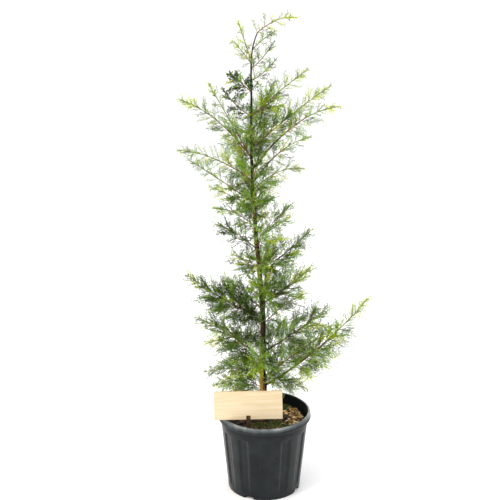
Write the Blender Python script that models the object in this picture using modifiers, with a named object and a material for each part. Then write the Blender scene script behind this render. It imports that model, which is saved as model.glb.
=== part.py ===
"""A leyland cypress about 1.2 m tall, standing in a ribbed nursery pot with a blank label board.

The origin is the middle of the pot's flat underside. +Z is up and -Y is the front. Metres.

The trunk leans a little and its leader nods over at the top. Each plume of foliage grows on
one stem, which starts on the trunk or on the end of a bare bough. Flat sprays leave the stem
by a seeded rule, and each plume keeps to the space that is nearer its stem than any other.
"""

import math
import random
from collections import namedtuple

import bmesh
import bpy
import numpy as np
from mathutils import Matrix, Vector, noise

MM = 0.001
GAP = 0.3 * MM  # clearance between neighbouring solids
SEED = 11

# The pot, a 5 litre nursery container
POT_HEIGHT = 204 * MM
RIM_RADIUS = 115 * MM
FOOT_RADIUS = 89 * MM
BRIM_RADIUS = 109.5 * MM  # outside of the wall where the rim turns out
POT_WALL = 2.2 * MM
SKIRT_DEPTH = 16 * MM
SKIRT_DRAFT = 1.6 * MM  # how far the skirt's lower edge is drawn in
FLUTES = 12
FLUTE_EDGES = (-8.8, -7.0, 7.0, 8.8, 15.0)  # degrees from a flute's middle: mouth, floor, rib
FLUTE_DEPTH = 2.6 * MM
FLUTE_BOTTOM = (13 * MM, 30 * MM)  # heights between which a flute deepens
FLUTE_TOP = (163 * MM, 166 * MM)  # heights between which it ends
NOTCHES = 4
NOTCH_WIDTH = 23 * MM
NOTCH_HEIGHT = 9 * MM
NOTCH_TURN = -115.0  # degrees, where the first notch faces

# The soil, a potful that stands on the pot's floor
SOIL_TOP = 176 * MM
SOIL_RELIEF = 4.5 * MM
SOIL_LUMP = 22 * MM
SOIL_LEVEL_RADIUS = 24 * MM  # flat round the trunk's foot
SOIL_SIDES = 24
SOIL_RINGS = (0.82, 0.6, 0.4)  # of its radius, where the lumpy top has points

# The label board and the stake that carries it
BOARD_WIDTH = 166 * MM
BOARD_HEIGHT = 72 * MM
BOARD_THICK = 4 * MM
BOARD_FOOT = (-39 * MM, -62 * MM, POT_HEIGHT + 3.6 * MM)  # middle of its lower edge
BOARD_ROLL = -1.2  # degrees, right end up
BOARD_LEAN = -5.0  # degrees, top edge back
STAKE_WIDTH = 10 * MM
STAKE_THICK = 3.4 * MM
STAKE_LENGTH = 92 * MM
SLOT_DEPTH = 10 * MM

# The trunk: sideways place and height of points on its centre line, and radii up its height
TRUNK_LINE = (
    (0, 176.3), (0, 190), (-2, 250), (-5, 330), (-4, 430), (-8, 510), (-15, 590), (-22, 670),
    (-27, 750), (-31, 830), (-33, 910), (-32, 980), (-33, 1040), (-31, 1090), (-25, 1118),
    (-19, 1135),
)
TRUNK_TAPER = (
    (176, 13.5), (181, 11.2), (190, 9.6), (205, 8.8), (350, 7.2), (500, 6.0), (650, 5.0),
    (800, 3.8), (950, 2.7), (1050, 2.0), (1135, 1.3),
)

TRUNK_STEP = 45 * MM  # between the points of its line
TRUNK_SIDES = 8

# The plumes from the top down, in millimetres: the height where the limb leaves the trunk,
# its tip, how far its middle arches up, the share that is a bare bough, its longest spray
Plume = namedtuple("Plume", "name height tip arch bare spray")
PLUMES = (
    Plume("leader", 1135, (72, -4, 1170), 12, 0.00, 36),
    Plume("top_right_a", 1098, (24, 15, 1137), 4, 0.00, 30),
    Plume("top_left_a", 1072, (-62, -10, 1163), -3, 0.00, 30),
    Plume("top_left_b", 1064, (-76, 22, 1114), 3, 0.00, 30),
    Plume("top_right_b", 1054, (20, -18, 1120), -6, 0.00, 40),
    Plume("top_right_c", 1026, (25, 26, 1071), -6, 0.00, 40),
    Plume("upper_left_a", 1000, (-85, -20, 1046), 2, 0.00, 44),
    Plume("upper_right_a", 950, (44, -80, 985), 6, 0.00, 60),
    Plume("upper_left_b", 944, (-100, 45, 1000), -8, 0.00, 34),
    Plume("upper_right_b", 940, (100, 50, 1043), 6, 0.00, 55),
    Plume("upper_right_c", 866, (151, 40, 1006), 6, 0.00, 66),
    Plume("upper_left_c", 842, (-134, 95, 1001), 2, 0.00, 50),
    Plume("middle_left_a", 846, (-198, -40, 993), 22, 0.00, 63),
    Plume("middle_right_a", 816, (171, -35, 975), 34, 0.42, 50),
    Plume("middle_back_a", 850, (24, 130, 1000), 18, 0.00, 76),
    Plume("middle_right_b", 785, (101, -90, 917), 22, 0.36, 41),
    Plume("middle_left_b", 790, (-207, 60, 848), 16, 0.00, 58),
    Plume("middle_right_c", 768, (94, 90, 795), 18, 0.00, 55),
    Plume("middle_front_a", 775, (-14, -135, 872), 20, 0.00, 76),
    Plume("middle_left_c", 736, (-178, -55, 857), 2, 0.00, 60),
    Plume("middle_back_b", 716, (-59, 150, 810), 18, 0.00, 76),
    Plume("middle_left_d", 722, (-136, 105, 747), 4, 0.00, 56),
    Plume("middle_left_e", 676, (-121, -95, 752), 14, 0.00, 62),
    Plume("middle_right_e", 630, (67, -20, 744), 12, 0.30, 66),
    Plume("middle_back_c", 668, (-34, 150, 770), 16, 0.00, 60),
    Plume("lower_left_a", 620, (-117, -70, 706), 10, 0.22, 74),
    Plume("lower_front_a", 625, (4, -120, 690), 24, 0.00, 72),
    Plume("lower_right_a", 570, (114, 50, 656), -8, 0.00, 82),
    Plume("lower_left_b", 565, (-84, 70, 588), 4, 0.00, 88),
    Plume("lower_right_b", 486, (110, -50, 600), -10, 0.00, 92),
    Plume("lower_front_b", 500, (2, -140, 565), 26, 0.00, 82),
    Plume("lower_back_a", 470, (-104, 150, 490), 2, 0.00, 80),
    Plume("lower_left_c", 448, (-182, -60, 579), -9, 0.20, 92),
    Plume("lower_right_c", 430, (98, -62, 534), 10, 0.00, 48),
    Plume("low_left_a", 398, (-150, 105, 334), 10, 0.00, 84),
    Plume("low_right_a", 356, (152, -60, 500), -4, 0.26, 98),
    Plume("low_left_b", 338, (-160, -100, 488), 10, 0.22, 90),
    Plume("low_front", 330, (-30, -155, 369), 22, 0.00, 84),
    Plume("low_back", 318, (49, 175, 370), 18, 0.00, 96),
    Plume("low_left_c", 308, (-148, 30, 292), 8, 0.00, 86),
    Plume("low_right_b", 268, (255, 30, 490), -22, 0.26, 80),
    Plume("low_right_c", 290, (178, -64, 456), 4, 0.00, 60),
    Plume("low_left_d", 262, (-127, 70, 236), 18, 0.00, 78),
    Plume("low_right_d", 290, (104, -16, 266), 8, 0.00, 70),
    Plume("upper_front", 892, (-34, -92, 925), 14, 0.00, 62),
    Plume("middle_front_b", 712, (-34, -128, 772), 20, 0.00, 74),
    Plume("lower_front_c", 566, (-6, -130, 612), 22, 0.00, 78),
)
BOUGH_SIDES = 6
STEM_STEP = 45 * MM  # between the points of a limb's line
STEM_RADIUS = (0.0085, 1.2 * MM)  # of the limb's length, and the least at its root
STEM_TIP_RADIUS = 0.7 * MM
STEM_TIP_INSET = 12 * MM  # the last spray alone carries the plume's tip
SPRAY_SPACING = 42 * MM  # along a stem
SPRAY_ANGLE = 46.0  # degrees between a stem and a spray
SPRAY_TURN = 137.5  # degrees from each spray to the next, round the stem
SPRAY_JITTER = 9.0  # degrees
SPRAY_THICK = 1.5 * MM
SPRAY_REACH = 0.34  # of its length, from its rib to the tips of its first lobes
SPRAY_RIB = 0.09  # of its length, from its middle to the notches between lobes
SHORTEST_SPRAY = 15 * MM
SPRAY_TRIES = (1.0, 0.82, 0.66, 0.5)  # shorter and shorter, where its space is small
WIDEST_AT = 0.22  # of the stem's length, where its sprays are longest
ROOT_TAPER = 0.1  # how much shorter they are at its root
TIP_TAPER = 0.86  # how much shorter they are at its tip
CLEARANCE = 2.6 * MM  # between a spray and the bounds of its space
BARE = "bare"  # the owner of the trunk's and the boughs' segments


def material(name, colour, roughness):
    """A Principled material of one colour."""
    made = bpy.data.materials.new(name)
    made.use_nodes = True
    shader = made.node_tree.nodes["Principled BSDF"]
    shader.inputs["Base Color"].default_value = (*colour, 1.0)
    shader.inputs["Roughness"].default_value = roughness
    shader.inputs["Metallic"].default_value = 0.0
    made.diffuse_color = (*colour, 1.0)
    return made


def add_object(name, mesh, collection, look=None):
    """Put a mesh in a collection as an object, with its material."""
    made = bpy.data.objects.new(name, mesh)
    collection.objects.link(made)
    if look:
        mesh.materials.clear()
        mesh.materials.append(look)
    return made


def evaluated_mesh(thing):
    """A new mesh of an object as its modifiers or its curve's bevel leave it."""
    bpy.context.view_layer.update()
    depsgraph = bpy.context.evaluated_depsgraph_get()
    return bpy.data.meshes.new_from_object(thing.evaluated_get(depsgraph))


def remove(thing):
    """Remove an object and its data."""
    data = thing.data
    bpy.data.objects.remove(thing)
    if isinstance(data, bpy.types.Mesh):
        bpy.data.meshes.remove(data)
    else:
        bpy.data.curves.remove(data)


def weld(mesh, distance=1e-6):
    """Join a mesh's coincident points and face it outwards."""
    shape = bmesh.new()
    shape.from_mesh(mesh)
    bmesh.ops.remove_doubles(shape, verts=shape.verts, dist=distance)
    bmesh.ops.recalc_face_normals(shape, faces=shape.faces)
    shape.to_mesh(mesh)
    shape.free()
    return mesh


# ---- lines and limbs


def smooth_line(points, step):
    """Points about a step apart on a Catmull-Rom curve through the given points."""
    ends = [2 * points[0] - points[1], *points, 2 * points[-1] - points[-2]]
    line = []
    for a, b, c, d in zip(ends, ends[1:], ends[2:], ends[3:]):
        count = max(1, round((c - b).length / step))
        for i in range(count):
            t = i / count
            bend = (2 * a - 5 * b + 4 * c - d) * t * t + (3 * b - a - 3 * c + d) * t ** 3
            line.append(b + 0.5 * ((c - a) * t + bend))
    return [*line, points[-1].copy()]


def lengths_along(line):
    """The distance from a line's start to each of its points."""
    steps = [(b - a).length for a, b in zip(line, line[1:])]
    return np.concatenate([[0.0], np.cumsum(steps)])


def point_at(line, distance):
    """The point at a distance along a line, and the line's direction there."""
    along = lengths_along(line)
    i = min(int(np.searchsorted(along, distance, side="right")), len(line) - 1)
    i = max(i, 1)
    direction = (line[i] - line[i - 1]).normalized()
    return line[i - 1] + direction * (distance - along[i - 1]), direction


def cut_line(line, start, end):
    """The stretch of a line between two distances along it."""
    along = lengths_along(line)
    inner = [p for p, s in zip(line, along) if start + MM < s < end - MM]
    return [point_at(line, start)[0], *inner, point_at(line, end)[0]]


def limb_mesh(line, radii, sides=4, grow=0.0):
    """A closed tapering tube along a line, optionally grown all over by a clearance."""
    curve = bpy.data.curves.new("limb", "CURVE")
    curve.dimensions = "3D"
    curve.bevel_depth = 1.0
    curve.bevel_resolution = sides // 2 - 2
    curve.use_fill_caps = True
    points = [p.copy() for p in line]
    points[0] -= (line[1] - line[0]).normalized() * grow
    points[-1] += (line[-1] - line[-2]).normalized() * grow
    spline = curve.splines.new("POLY")
    spline.points.add(len(points) - 1)
    for point, place, radius in zip(spline.points, points, radii):
        point.co = (*place, 1.0)
        point.radius = radius + grow
    holder = bpy.data.objects.new("limb", curve)
    bpy.context.scene.collection.objects.link(holder)
    mesh = weld(evaluated_mesh(holder))
    remove(holder)
    return mesh


def trunk_shape():
    """The trunk's centre line and the radius at each of its points."""
    line = smooth_line([Vector((x * MM, 0.0, z * MM)) for x, z in TRUNK_LINE], TRUNK_STEP)
    heights, radii = np.array(TRUNK_TAPER).T * MM
    return line, list(np.interp([p.z for p in line], heights, radii))


def limb_line(plume, trunk_line):
    """The curve of a limb: a quadratic Bezier from the trunk's axis to the limb's tip."""
    height = plume.height * MM
    sideways = np.interp(height, [p.z for p in trunk_line], [p.x for p in trunk_line])
    root = Vector((sideways, 0.0, height))
    end = Vector(plume.tip) * MM
    middle = (root + end) / 2 + Vector((0, 0, 2 * plume.arch * MM))
    count = max(3, round((end - root).length / STEM_STEP))
    steps = [i / count for i in range(count + 1)]
    return [root * (1 - t) ** 2 + middle * 2 * t * (1 - t) + end * t * t for t in steps]


def limb_radii(line):
    """Radii that taper along a limb from its root to its tip."""
    along = lengths_along(line)
    root = max(STEM_RADIUS[1], STEM_RADIUS[0] * along[-1])
    return [root + (STEM_TIP_RADIUS - root) * s / along[-1] for s in along]


def split_limb(plume, line, radii):
    """A limb's bare bough and its leafy stem, each as (line, radii); there may be no bough."""
    along = lengths_along(line)
    split = plume.bare * along[-1]
    if split == 0:
        return None, (line, radii)
    bough = cut_line(line, 0.0, split)
    stem = cut_line(line, split + GAP, along[-1])
    bough_radii = np.interp(lengths_along(bough), along, radii)
    stem_radii = np.interp(lengths_along(stem) + split + GAP, along, radii)
    return (bough, list(bough_radii)), (stem, list(stem_radii))


# ---- the space that each plume keeps to


class Space:
    """Distances from points to the surfaces of the plant's limbs."""

    def __init__(self, limbs):
        """Take (owner, line, radii) of every limb as one table of segments."""
        owners, starts, ends, thick = [], [], [], []
        for owner, line, radii in limbs:
            for i in range(len(line) - 1):
                owners.append(owner)
                starts.append(line[i])
                ends.append(line[i + 1])
                thick.append((radii[i], radii[i + 1]))
        self.owners = np.array(owners)
        self.starts = np.array(starts)
        self.spans = np.array(ends) - self.starts
        self.thick = np.array(thick)

    def is_free(self, points, owner):
        """Whether points are nearer the owner's stem than any other, and clear of bare limbs."""
        offset = points[:, None, :] - self.starts[None]
        share = np.einsum("psk,sk->ps", offset, self.spans) / (self.spans ** 2).sum(1)
        share = np.clip(share, 0.0, 1.0)
        away = np.linalg.norm(offset - share[..., None] * self.spans, axis=2)
        away -= self.thick[:, 0] + (self.thick[:, 1] - self.thick[:, 0]) * share
        bare = self.owners == BARE
        own = self.owners == owner
        if away[:, bare].min() < CLEARANCE:
            return False
        return (away[:, own].min(axis=1) + CLEARANCE < away[:, ~(own | bare)].min(axis=1)).all()


def clear_of_pot_and_board(points):
    """Whether points stay above the pot and away from the label board."""
    over = np.hypot(points[:, 0], points[:, 1]) < RIM_RADIUS + 6 * MM
    if (over & (points[:, 2] < POT_HEIGHT + 5 * MM)).any():
        return False
    local = (points - np.array(BOARD_FOOT)) @ np.array(board_turn().to_3x3())
    half = np.array((BOARD_WIDTH / 2, BOARD_THICK / 2, BOARD_HEIGHT / 2)) + 2 * CLEARANCE
    inside = np.abs(local - (0.0, 0.0, BOARD_HEIGHT / 2)) < half
    return not inside.all(axis=1).any()


# ---- foliage


def spray_outline(length):
    """A toothed blade's outline from its root, in (along, across); its lobes alternate."""
    sides = []
    for side, delay in ((1, 0.0), (-1, 0.12)):
        sides.append([
            (0.0, side * SPRAY_RIB / 3), (0.36 + delay, side * SPRAY_REACH),
            (0.40 + delay, side * SPRAY_RIB), (0.72 + delay, side * SPRAY_REACH * 0.66),
        ])
    outline = [*sides[0], (1.0, 0.0), *reversed(sides[1])]
    return [(u * length, v * length) for u, v in outline]


def spray_mesh(outline, root, along, across):
    """A flat blade of the spray's outline, laid out from its root."""
    normal = along.cross(across)
    half = normal * SPRAY_THICK / 2
    shape = bmesh.new()
    ring = [shape.verts.new(root + along * u + across * v - half) for u, v in outline]
    face = shape.faces.new(ring)
    raised = bmesh.ops.extrude_face_region(shape, geom=[face])["geom"]
    top = [item for item in raised if isinstance(item, bmesh.types.BMVert)]
    bmesh.ops.translate(shape, verts=top, vec=half * 2)
    bmesh.ops.triangulate(shape, faces=[f for f in shape.faces if len(f.verts) > 4])
    bmesh.ops.recalc_face_normals(shape, faces=shape.faces)
    mesh = bpy.data.meshes.new("spray")
    shape.to_mesh(mesh)
    shape.free()
    return mesh


def outline_points(outline, root, along, across):
    """Points every few millimetres round a spray's outline, on both of its faces."""
    flat = []
    for (u0, v0), (u1, v1) in zip(outline, outline[1:] + outline[:1]):
        count = max(1, round(math.hypot(u1 - u0, v1 - v0) / (3 * MM)))
        for i in range(count):
            flat.append((u0 + (u1 - u0) * i / count, v0 + (v1 - v0) * i / count))
    flat = np.array([p for p in flat if p[0] > 5 * MM])
    return np.array(root) + flat[:, :1] * np.array(along) + flat[:, 1:] * np.array(across)


def spray_sites(plume, line, chance):
    """Where sprays leave a stem: root, direction, the way across it and its full length."""
    total = lengths_along(line)[-1]
    count = max(2, round(total / SPRAY_SPACING))
    turn = chance.uniform(0, 360)
    sites = []
    for i in range(count):
        share = (i + 0.7) / (count + 0.5)
        root, tangent = point_at(line, share * total)
        turn += SPRAY_TURN + chance.uniform(-SPRAY_JITTER, SPRAY_JITTER)
        side = Matrix.Rotation(math.radians(turn), 3, tangent) @ tangent.orthogonal().normalized()
        angle = math.radians(SPRAY_ANGLE + chance.uniform(-SPRAY_JITTER, SPRAY_JITTER))
        along = (tangent * math.cos(angle) + side * math.sin(angle)).normalized()
        across = (side - along * side.dot(along)).normalized()
        if share < WIDEST_AT:
            shorter = ROOT_TAPER * (1 - share / WIDEST_AT) ** 2
        else:
            shorter = TIP_TAPER * (share - WIDEST_AT) / (1 - WIDEST_AT)
        sites.append((root, along, across, plume.spray * MM * (1 - shorter)))
    last = min(0.8 * total, plume.spray * MM)
    root = point_at(line, total - last)[0]
    along = (line[-1] - root).normalized()
    sites.append((root, along, along.orthogonal().normalized(), (line[-1] - root).length))
    return sites


def make_plume(plume, stem, space, seed, look, home):
    """One plume: its stem and the sprays that keep to its space, joined in one solid."""
    chance = random.Random(seed)
    line, radii = stem
    stem_line = cut_line(line, 0.0, lengths_along(line)[-1] - STEM_TIP_INSET)
    made = add_object(plume.name + "_plume", limb_mesh(stem_line, radii), home, look)
    sprays = bpy.data.collections.new("sprays")
    bpy.context.scene.collection.children.link(sprays)
    for root, along, across, full in spray_sites(plume, line, chance):
        for share in SPRAY_TRIES:
            outline = spray_outline(max(full * share, SHORTEST_SPRAY))
            points = outline_points(outline, root, along, across)
            if space.is_free(points, plume.name) and clear_of_pot_and_board(points):
                add_object("spray", spray_mesh(outline, root, along, across), sprays)
                break
    union = made.modifiers.new("sprays", "BOOLEAN")
    union.operation = "UNION"
    union.operand_type = "COLLECTION"
    union.collection = sprays
    union.solver = "EXACT"
    apply_modifiers(made)
    for spray in list(sprays.objects):
        remove(spray)
    bpy.data.collections.remove(sprays)
    return made


def apply_modifiers(thing):
    """Give an object the mesh that its modifiers leave."""
    mesh = evaluated_mesh(thing)
    thing.modifiers.clear()
    old = thing.data
    thing.data = mesh
    bpy.data.meshes.remove(old)


def cut_clear(thing, cutter):
    """Cut a limb back to a clearance from the trunk."""
    cut = thing.modifiers.new("trunk", "BOOLEAN")
    cut.operation = "DIFFERENCE"
    cut.object = cutter
    cut.solver = "EXACT"
    apply_modifiers(thing)


def keep_largest(mesh):
    """Weld a mesh and keep its largest connected piece."""
    shape = bmesh.new()
    shape.from_mesh(mesh)
    bmesh.ops.remove_doubles(shape, verts=shape.verts, dist=2e-6)
    bmesh.ops.triangulate(shape, faces=shape.faces)
    unseen = set(shape.faces)
    pieces = []
    while unseen:
        piece = {unseen.pop()}
        edge = list(piece)
        while edge:
            face = edge.pop()
            for link in (l.link_loop_radial_next.face for l in face.loops):
                if link in unseen:
                    unseen.discard(link)
                    piece.add(link)
                    edge.append(link)
        pieces.append(piece)
    largest = max(pieces, key=lambda piece: sum(f.calc_area() for f in piece))
    loose = [f for f in shape.faces if f not in largest]
    bmesh.ops.delete(shape, geom=loose, context="FACES")
    shape.to_mesh(mesh)
    shape.free()


# ---- the pot, the soil and the label


def turned_mesh(profile, steps):
    """A profile of (radius, height) turned round Z."""
    mesh = bpy.data.meshes.new("profile")
    edges = [(i, i + 1) for i in range(len(profile) - 1)]
    mesh.from_pydata([(r, 0.0, z) for r, z in profile], edges, [])
    holder = bpy.data.objects.new("profile", mesh)
    bpy.context.scene.collection.objects.link(holder)
    screw = holder.modifiers.new("turn", "SCREW")
    screw.steps = steps
    screw.render_steps = steps
    screw.use_merge_vertices = True
    screw.merge_threshold = 1e-5
    turned = weld(evaluated_mesh(holder), 1e-5)
    remove(holder)
    return turned


def wall_radius(height):
    """The radius of the pot's inner wall between its flutes."""
    slope = (BRIM_RADIUS - FOOT_RADIUS) / POT_HEIGHT
    return FOOT_RADIUS + slope * height - POT_WALL


def flute_share(height):
    """How deep a flute is at a height, from 0 to 1."""
    rise = (height - FLUTE_BOTTOM[0]) / (FLUTE_BOTTOM[1] - FLUTE_BOTTOM[0])
    fall = (FLUTE_TOP[1] - height) / (FLUTE_TOP[1] - FLUTE_TOP[0])
    return max(0.0, min(1.0, rise, fall))


def make_pot(look, home, cutters):
    """The pot: turned from the inside of its wall over the rim to the outside of its skirt."""
    wall = [(wall_radius(z), z) for z in (POT_WALL, *FLUTE_BOTTOM, *FLUTE_TOP, POT_HEIGHT)]
    profile = [
        (0.0, POT_WALL), *wall,
        (RIM_RADIUS, POT_HEIGHT), (RIM_RADIUS - SKIRT_DRAFT, POT_HEIGHT - SKIRT_DEPTH),
    ]
    mesh = turned_mesh(profile, FLUTES * len(FLUTE_EDGES))
    columns = FLUTES * len(FLUTE_EDGES)
    for vertex in mesh.vertices:
        radius = math.hypot(vertex.co.x, vertex.co.y)
        if radius < MM:
            continue
        around = math.atan2(vertex.co.y, vertex.co.x) / (2 * math.pi)
        flute, edge = divmod(round(around * columns) % columns, len(FLUTE_EDGES))
        turn = math.radians(flute * 360.0 / FLUTES + FLUTE_EDGES[edge] - 90.0)
        if abs(FLUTE_EDGES[edge]) < FLUTE_EDGES[3] and radius < BRIM_RADIUS:
            radius -= FLUTE_DEPTH * flute_share(vertex.co.z)
        vertex.co.x = radius * math.cos(turn)
        vertex.co.y = radius * math.sin(turn)
    pot = add_object("pot", mesh, home, look)
    shell = pot.modifiers.new("wall", "SOLIDIFY")
    shell.thickness = POT_WALL
    shell.offset = -1.0
    shell.use_even_offset = True
    for i in range(NOTCHES):
        turn = math.radians(NOTCH_TURN + i * 360.0 / NOTCHES)
        cutter = box("notch_%d" % i, (NOTCH_WIDTH, 30 * MM, NOTCH_HEIGHT * 2), cutters)
        cutter.location = (math.cos(turn) * FOOT_RADIUS, math.sin(turn) * FOOT_RADIUS, 0.0)
        cutter.rotation_euler.z = turn - math.pi / 2
        notch = pot.modifiers.new("notch_%d" % i, "BOOLEAN")
        notch.operation = "DIFFERENCE"
        notch.object = cutter
        notch.solver = "EXACT"
    mesh.shade_smooth()
    mesh.set_sharp_from_angle(angle=math.radians(22))
    return pot


def box(name, size, collection, look=None):
    """A box about its centre; a cutter when it has no look."""
    shape = bmesh.new()
    bmesh.ops.create_cube(shape, size=1.0, matrix=Matrix.Diagonal((*size, 1.0)))
    mesh = bpy.data.meshes.new(name)
    shape.to_mesh(mesh)
    shape.free()
    made = add_object(name, mesh, collection, look)
    if look is None:
        made.hide_render = True
        made.display_type = "WIRE"
    return made


def make_soil(look, home, cutters):
    """The soil: a plug inside the flutes that widens to the wall above them, lumpy on top."""
    flat = FOOT_RADIUS * (1 - math.cos(math.radians(FLUTE_EDGES[2])))  # a floor's own inset
    narrow = FLUTE_DEPTH + flat + 4 * GAP
    low, high, top = POT_WALL + GAP, FLUTE_TOP[1] + 2 * MM, SOIL_TOP
    edge = wall_radius(top) - 4 * GAP
    profile = [
        (0.0, low), (wall_radius(low) - narrow, low), (wall_radius(high) - narrow, high - 2 * MM),
        (wall_radius(high) - 4 * GAP, high), (edge, top),
        *((edge * share, top) for share in SOIL_RINGS), (SOIL_LEVEL_RADIUS, top), (0.0, top),
    ]
    mesh = turned_mesh(profile, SOIL_SIDES)
    for vertex in mesh.vertices:
        radius = math.hypot(vertex.co.x, vertex.co.y)
        if vertex.co.z > top - 0.1 * MM and SOIL_LEVEL_RADIUS + MM < radius < edge - MM:
            lump = noise.noise(vertex.co / SOIL_LUMP + Vector((3.1, 0.4, 7.7)))
            vertex.co.z += SOIL_RELIEF * lump
    soil = add_object("soil", mesh, home, look)
    pocket = box("stake_pocket", stake_size(2 * GAP), cutters)
    pocket.matrix_world = stake_place()
    hole = soil.modifiers.new("stake_pocket", "BOOLEAN")
    hole.operation = "DIFFERENCE"
    hole.object = pocket
    hole.solver = "EXACT"
    return soil


def board_turn():
    """The board's rotation: it rolls right end up and leans back."""
    roll = Matrix.Rotation(math.radians(BOARD_ROLL), 4, "Y")
    return roll @ Matrix.Rotation(math.radians(BOARD_LEAN), 4, "X")


def stake_size(grow=0.0):
    """The stake's box, grown all round by a clearance."""
    return (STAKE_WIDTH + grow, STAKE_THICK + grow, STAKE_LENGTH + grow)


def stake_place():
    """Where the middle of the stake's box lies: its head fills the board's slot."""
    middle = SLOT_DEPTH - GAP - STAKE_LENGTH / 2
    return Matrix.Translation(BOARD_FOOT) @ board_turn() @ Matrix.Translation((0, 0, middle))


def make_label(board_look, stake_look, home, cutters):
    """A blank plywood board with a slot in its lower edge, on a stake in the soil."""
    board = box("label_board", (BOARD_WIDTH, BOARD_THICK, BOARD_HEIGHT), home, board_look)
    lift = Matrix.Translation((0, 0, BOARD_HEIGHT / 2))
    board.matrix_world = Matrix.Translation(BOARD_FOOT) @ board_turn() @ lift
    slot = box("label_slot", (STAKE_WIDTH + 2 * GAP, BOARD_THICK * 3, SLOT_DEPTH * 2), cutters)
    slot.matrix_world = Matrix.Translation(BOARD_FOOT) @ board_turn()
    cut = board.modifiers.new("slot", "BOOLEAN")
    cut.operation = "DIFFERENCE"
    cut.object = slot
    cut.solver = "EXACT"
    stake = box("label_stake", stake_size(), home, stake_look)
    stake.matrix_world = stake_place()


def main():
    for thing in list(bpy.data.objects):
        bpy.data.objects.remove(thing)
    scene = bpy.context.scene
    scene.unit_settings.system = "METRIC"
    home = bpy.data.collections.new("leyland_cypress")
    cutters = bpy.data.collections.new("cutters")
    scene.collection.children.link(home)
    scene.collection.children.link(cutters)

    bark = material("bark", (0.13, 0.06, 0.03), 0.8)
    foliage = material("foliage", (0.10, 0.22, 0.07), 0.6)
    plastic = material("pot_plastic", (0.03, 0.038, 0.04), 0.45)
    compost = material("compost", (0.07, 0.04, 0.02), 0.95)
    plywood = material("plywood", (0.72, 0.52, 0.30), 0.7)
    dark_wood = material("dark_wood", (0.10, 0.05, 0.025), 0.8)

    make_pot(plastic, home, cutters)
    make_soil(compost, home, cutters)
    make_label(plywood, dark_wood, home, cutters)

    trunk_line, trunk_radii = trunk_shape()
    add_object("trunk", limb_mesh(trunk_line, trunk_radii, TRUNK_SIDES), home, bark)
    clear_trunk = limb_mesh(trunk_line, trunk_radii, TRUNK_SIDES, grow=GAP)
    trunk_cutter = add_object("trunk_cutter", clear_trunk, cutters)
    trunk_cutter.hide_render = True
    trunk_cutter.display_type = "WIRE"

    limbs = []
    for plume in PLUMES:
        line = limb_line(plume, trunk_line)
        limbs.append((plume, *split_limb(plume, line, limb_radii(line))))
    bare = [(trunk_line, trunk_radii), *(bough for _, bough, _ in limbs if bough)]
    space = Space(
        [(BARE, *limb) for limb in bare] + [(plume.name, *stem) for plume, _, stem in limbs]
    )
    for seed, (plume, bough, stem) in enumerate(limbs, SEED):
        foot = make_plume(plume, stem, space, seed, foliage, home)
        if bough:
            keep_largest(foot.data)
            foot = add_object(plume.name + "_bough", limb_mesh(*bough, BOUGH_SIDES), home, bark)
        cut_clear(foot, trunk_cutter)
        keep_largest(foot.data)


main()
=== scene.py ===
# A leyland cypress about 1.2 m tall in a ribbed nursery pot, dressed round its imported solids.
# Metres. +Z is up, -Y is the front, and the origin is the middle of the pot's flat underside.
# The plumes grow from their limbs by the rule of the solids' source, and go on to finer twigs.

import random
from collections import namedtuple

import bpy
import numpy as np
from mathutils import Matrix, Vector


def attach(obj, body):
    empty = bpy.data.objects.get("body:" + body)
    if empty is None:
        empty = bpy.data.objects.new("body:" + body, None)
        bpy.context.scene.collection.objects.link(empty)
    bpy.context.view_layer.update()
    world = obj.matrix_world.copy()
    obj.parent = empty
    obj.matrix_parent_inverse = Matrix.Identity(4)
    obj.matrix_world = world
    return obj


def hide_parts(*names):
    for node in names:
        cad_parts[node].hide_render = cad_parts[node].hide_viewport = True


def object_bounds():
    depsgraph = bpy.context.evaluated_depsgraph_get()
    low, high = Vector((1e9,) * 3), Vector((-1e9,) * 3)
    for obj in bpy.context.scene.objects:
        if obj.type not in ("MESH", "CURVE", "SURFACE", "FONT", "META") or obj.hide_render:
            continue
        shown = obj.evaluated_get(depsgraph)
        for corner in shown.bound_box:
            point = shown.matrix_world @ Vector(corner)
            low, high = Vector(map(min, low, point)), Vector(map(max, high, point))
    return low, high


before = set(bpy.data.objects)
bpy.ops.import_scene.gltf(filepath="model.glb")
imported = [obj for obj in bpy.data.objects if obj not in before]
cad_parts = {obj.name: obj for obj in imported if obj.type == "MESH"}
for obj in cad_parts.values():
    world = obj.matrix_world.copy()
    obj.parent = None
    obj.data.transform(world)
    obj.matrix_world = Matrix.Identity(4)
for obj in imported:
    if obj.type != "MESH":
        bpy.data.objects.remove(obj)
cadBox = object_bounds()
mm = 0.001
up = np.array((0.0, 0.0, 1.0))
fullTurn = 2 * np.pi

# Colours and materials


def linear(code):
    # An sRGB hex value as linear colour: c / 12.92 below 0.04045, else ((c + 0.055) / 1.055) ^ 2.4
    parts = np.array([int(code[i:i + 2], 16) for i in (1, 3, 5)]) / 255.0
    parts = np.where(parts < 0.04045, parts / 12.92, ((parts + 0.055) / 1.055) ** 2.4)
    return (*parts.tolist(), 1.0)


def newMaterial(name, colour, **values):
    # A material and its shader; values are the shader's own sockets', with _ for a space
    material = bpy.data.materials.new(name)
    material.use_nodes = True
    material.diffuse_color = linear(colour)
    shader = material.node_tree.nodes["Principled BSDF"]
    shader.inputs["Base Color"].default_value = linear(colour)
    for socket, value in values.items():
        shader.inputs[socket.replace("_", " ")].default_value = value
    return material, shader


def addNode(shader, kind, links=None, inputs=None, **settings):
    # A node in a shader's tree, with its settings, its sockets' values and other nodes' outputs linked to it
    node = shader.id_data.nodes.new(kind)
    for name, value in settings.items():
        setattr(node, name, value)
    for name, value in (inputs or {}).items():
        node.inputs[name].default_value = value
    for name, source in (links or {}).items():
        shader.id_data.links.new(source, node.inputs[name])
    return node


def setInput(shader, name, source):
    # Links another node's output to the shader
    shader.id_data.links.new(source, shader.inputs[name])


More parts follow.
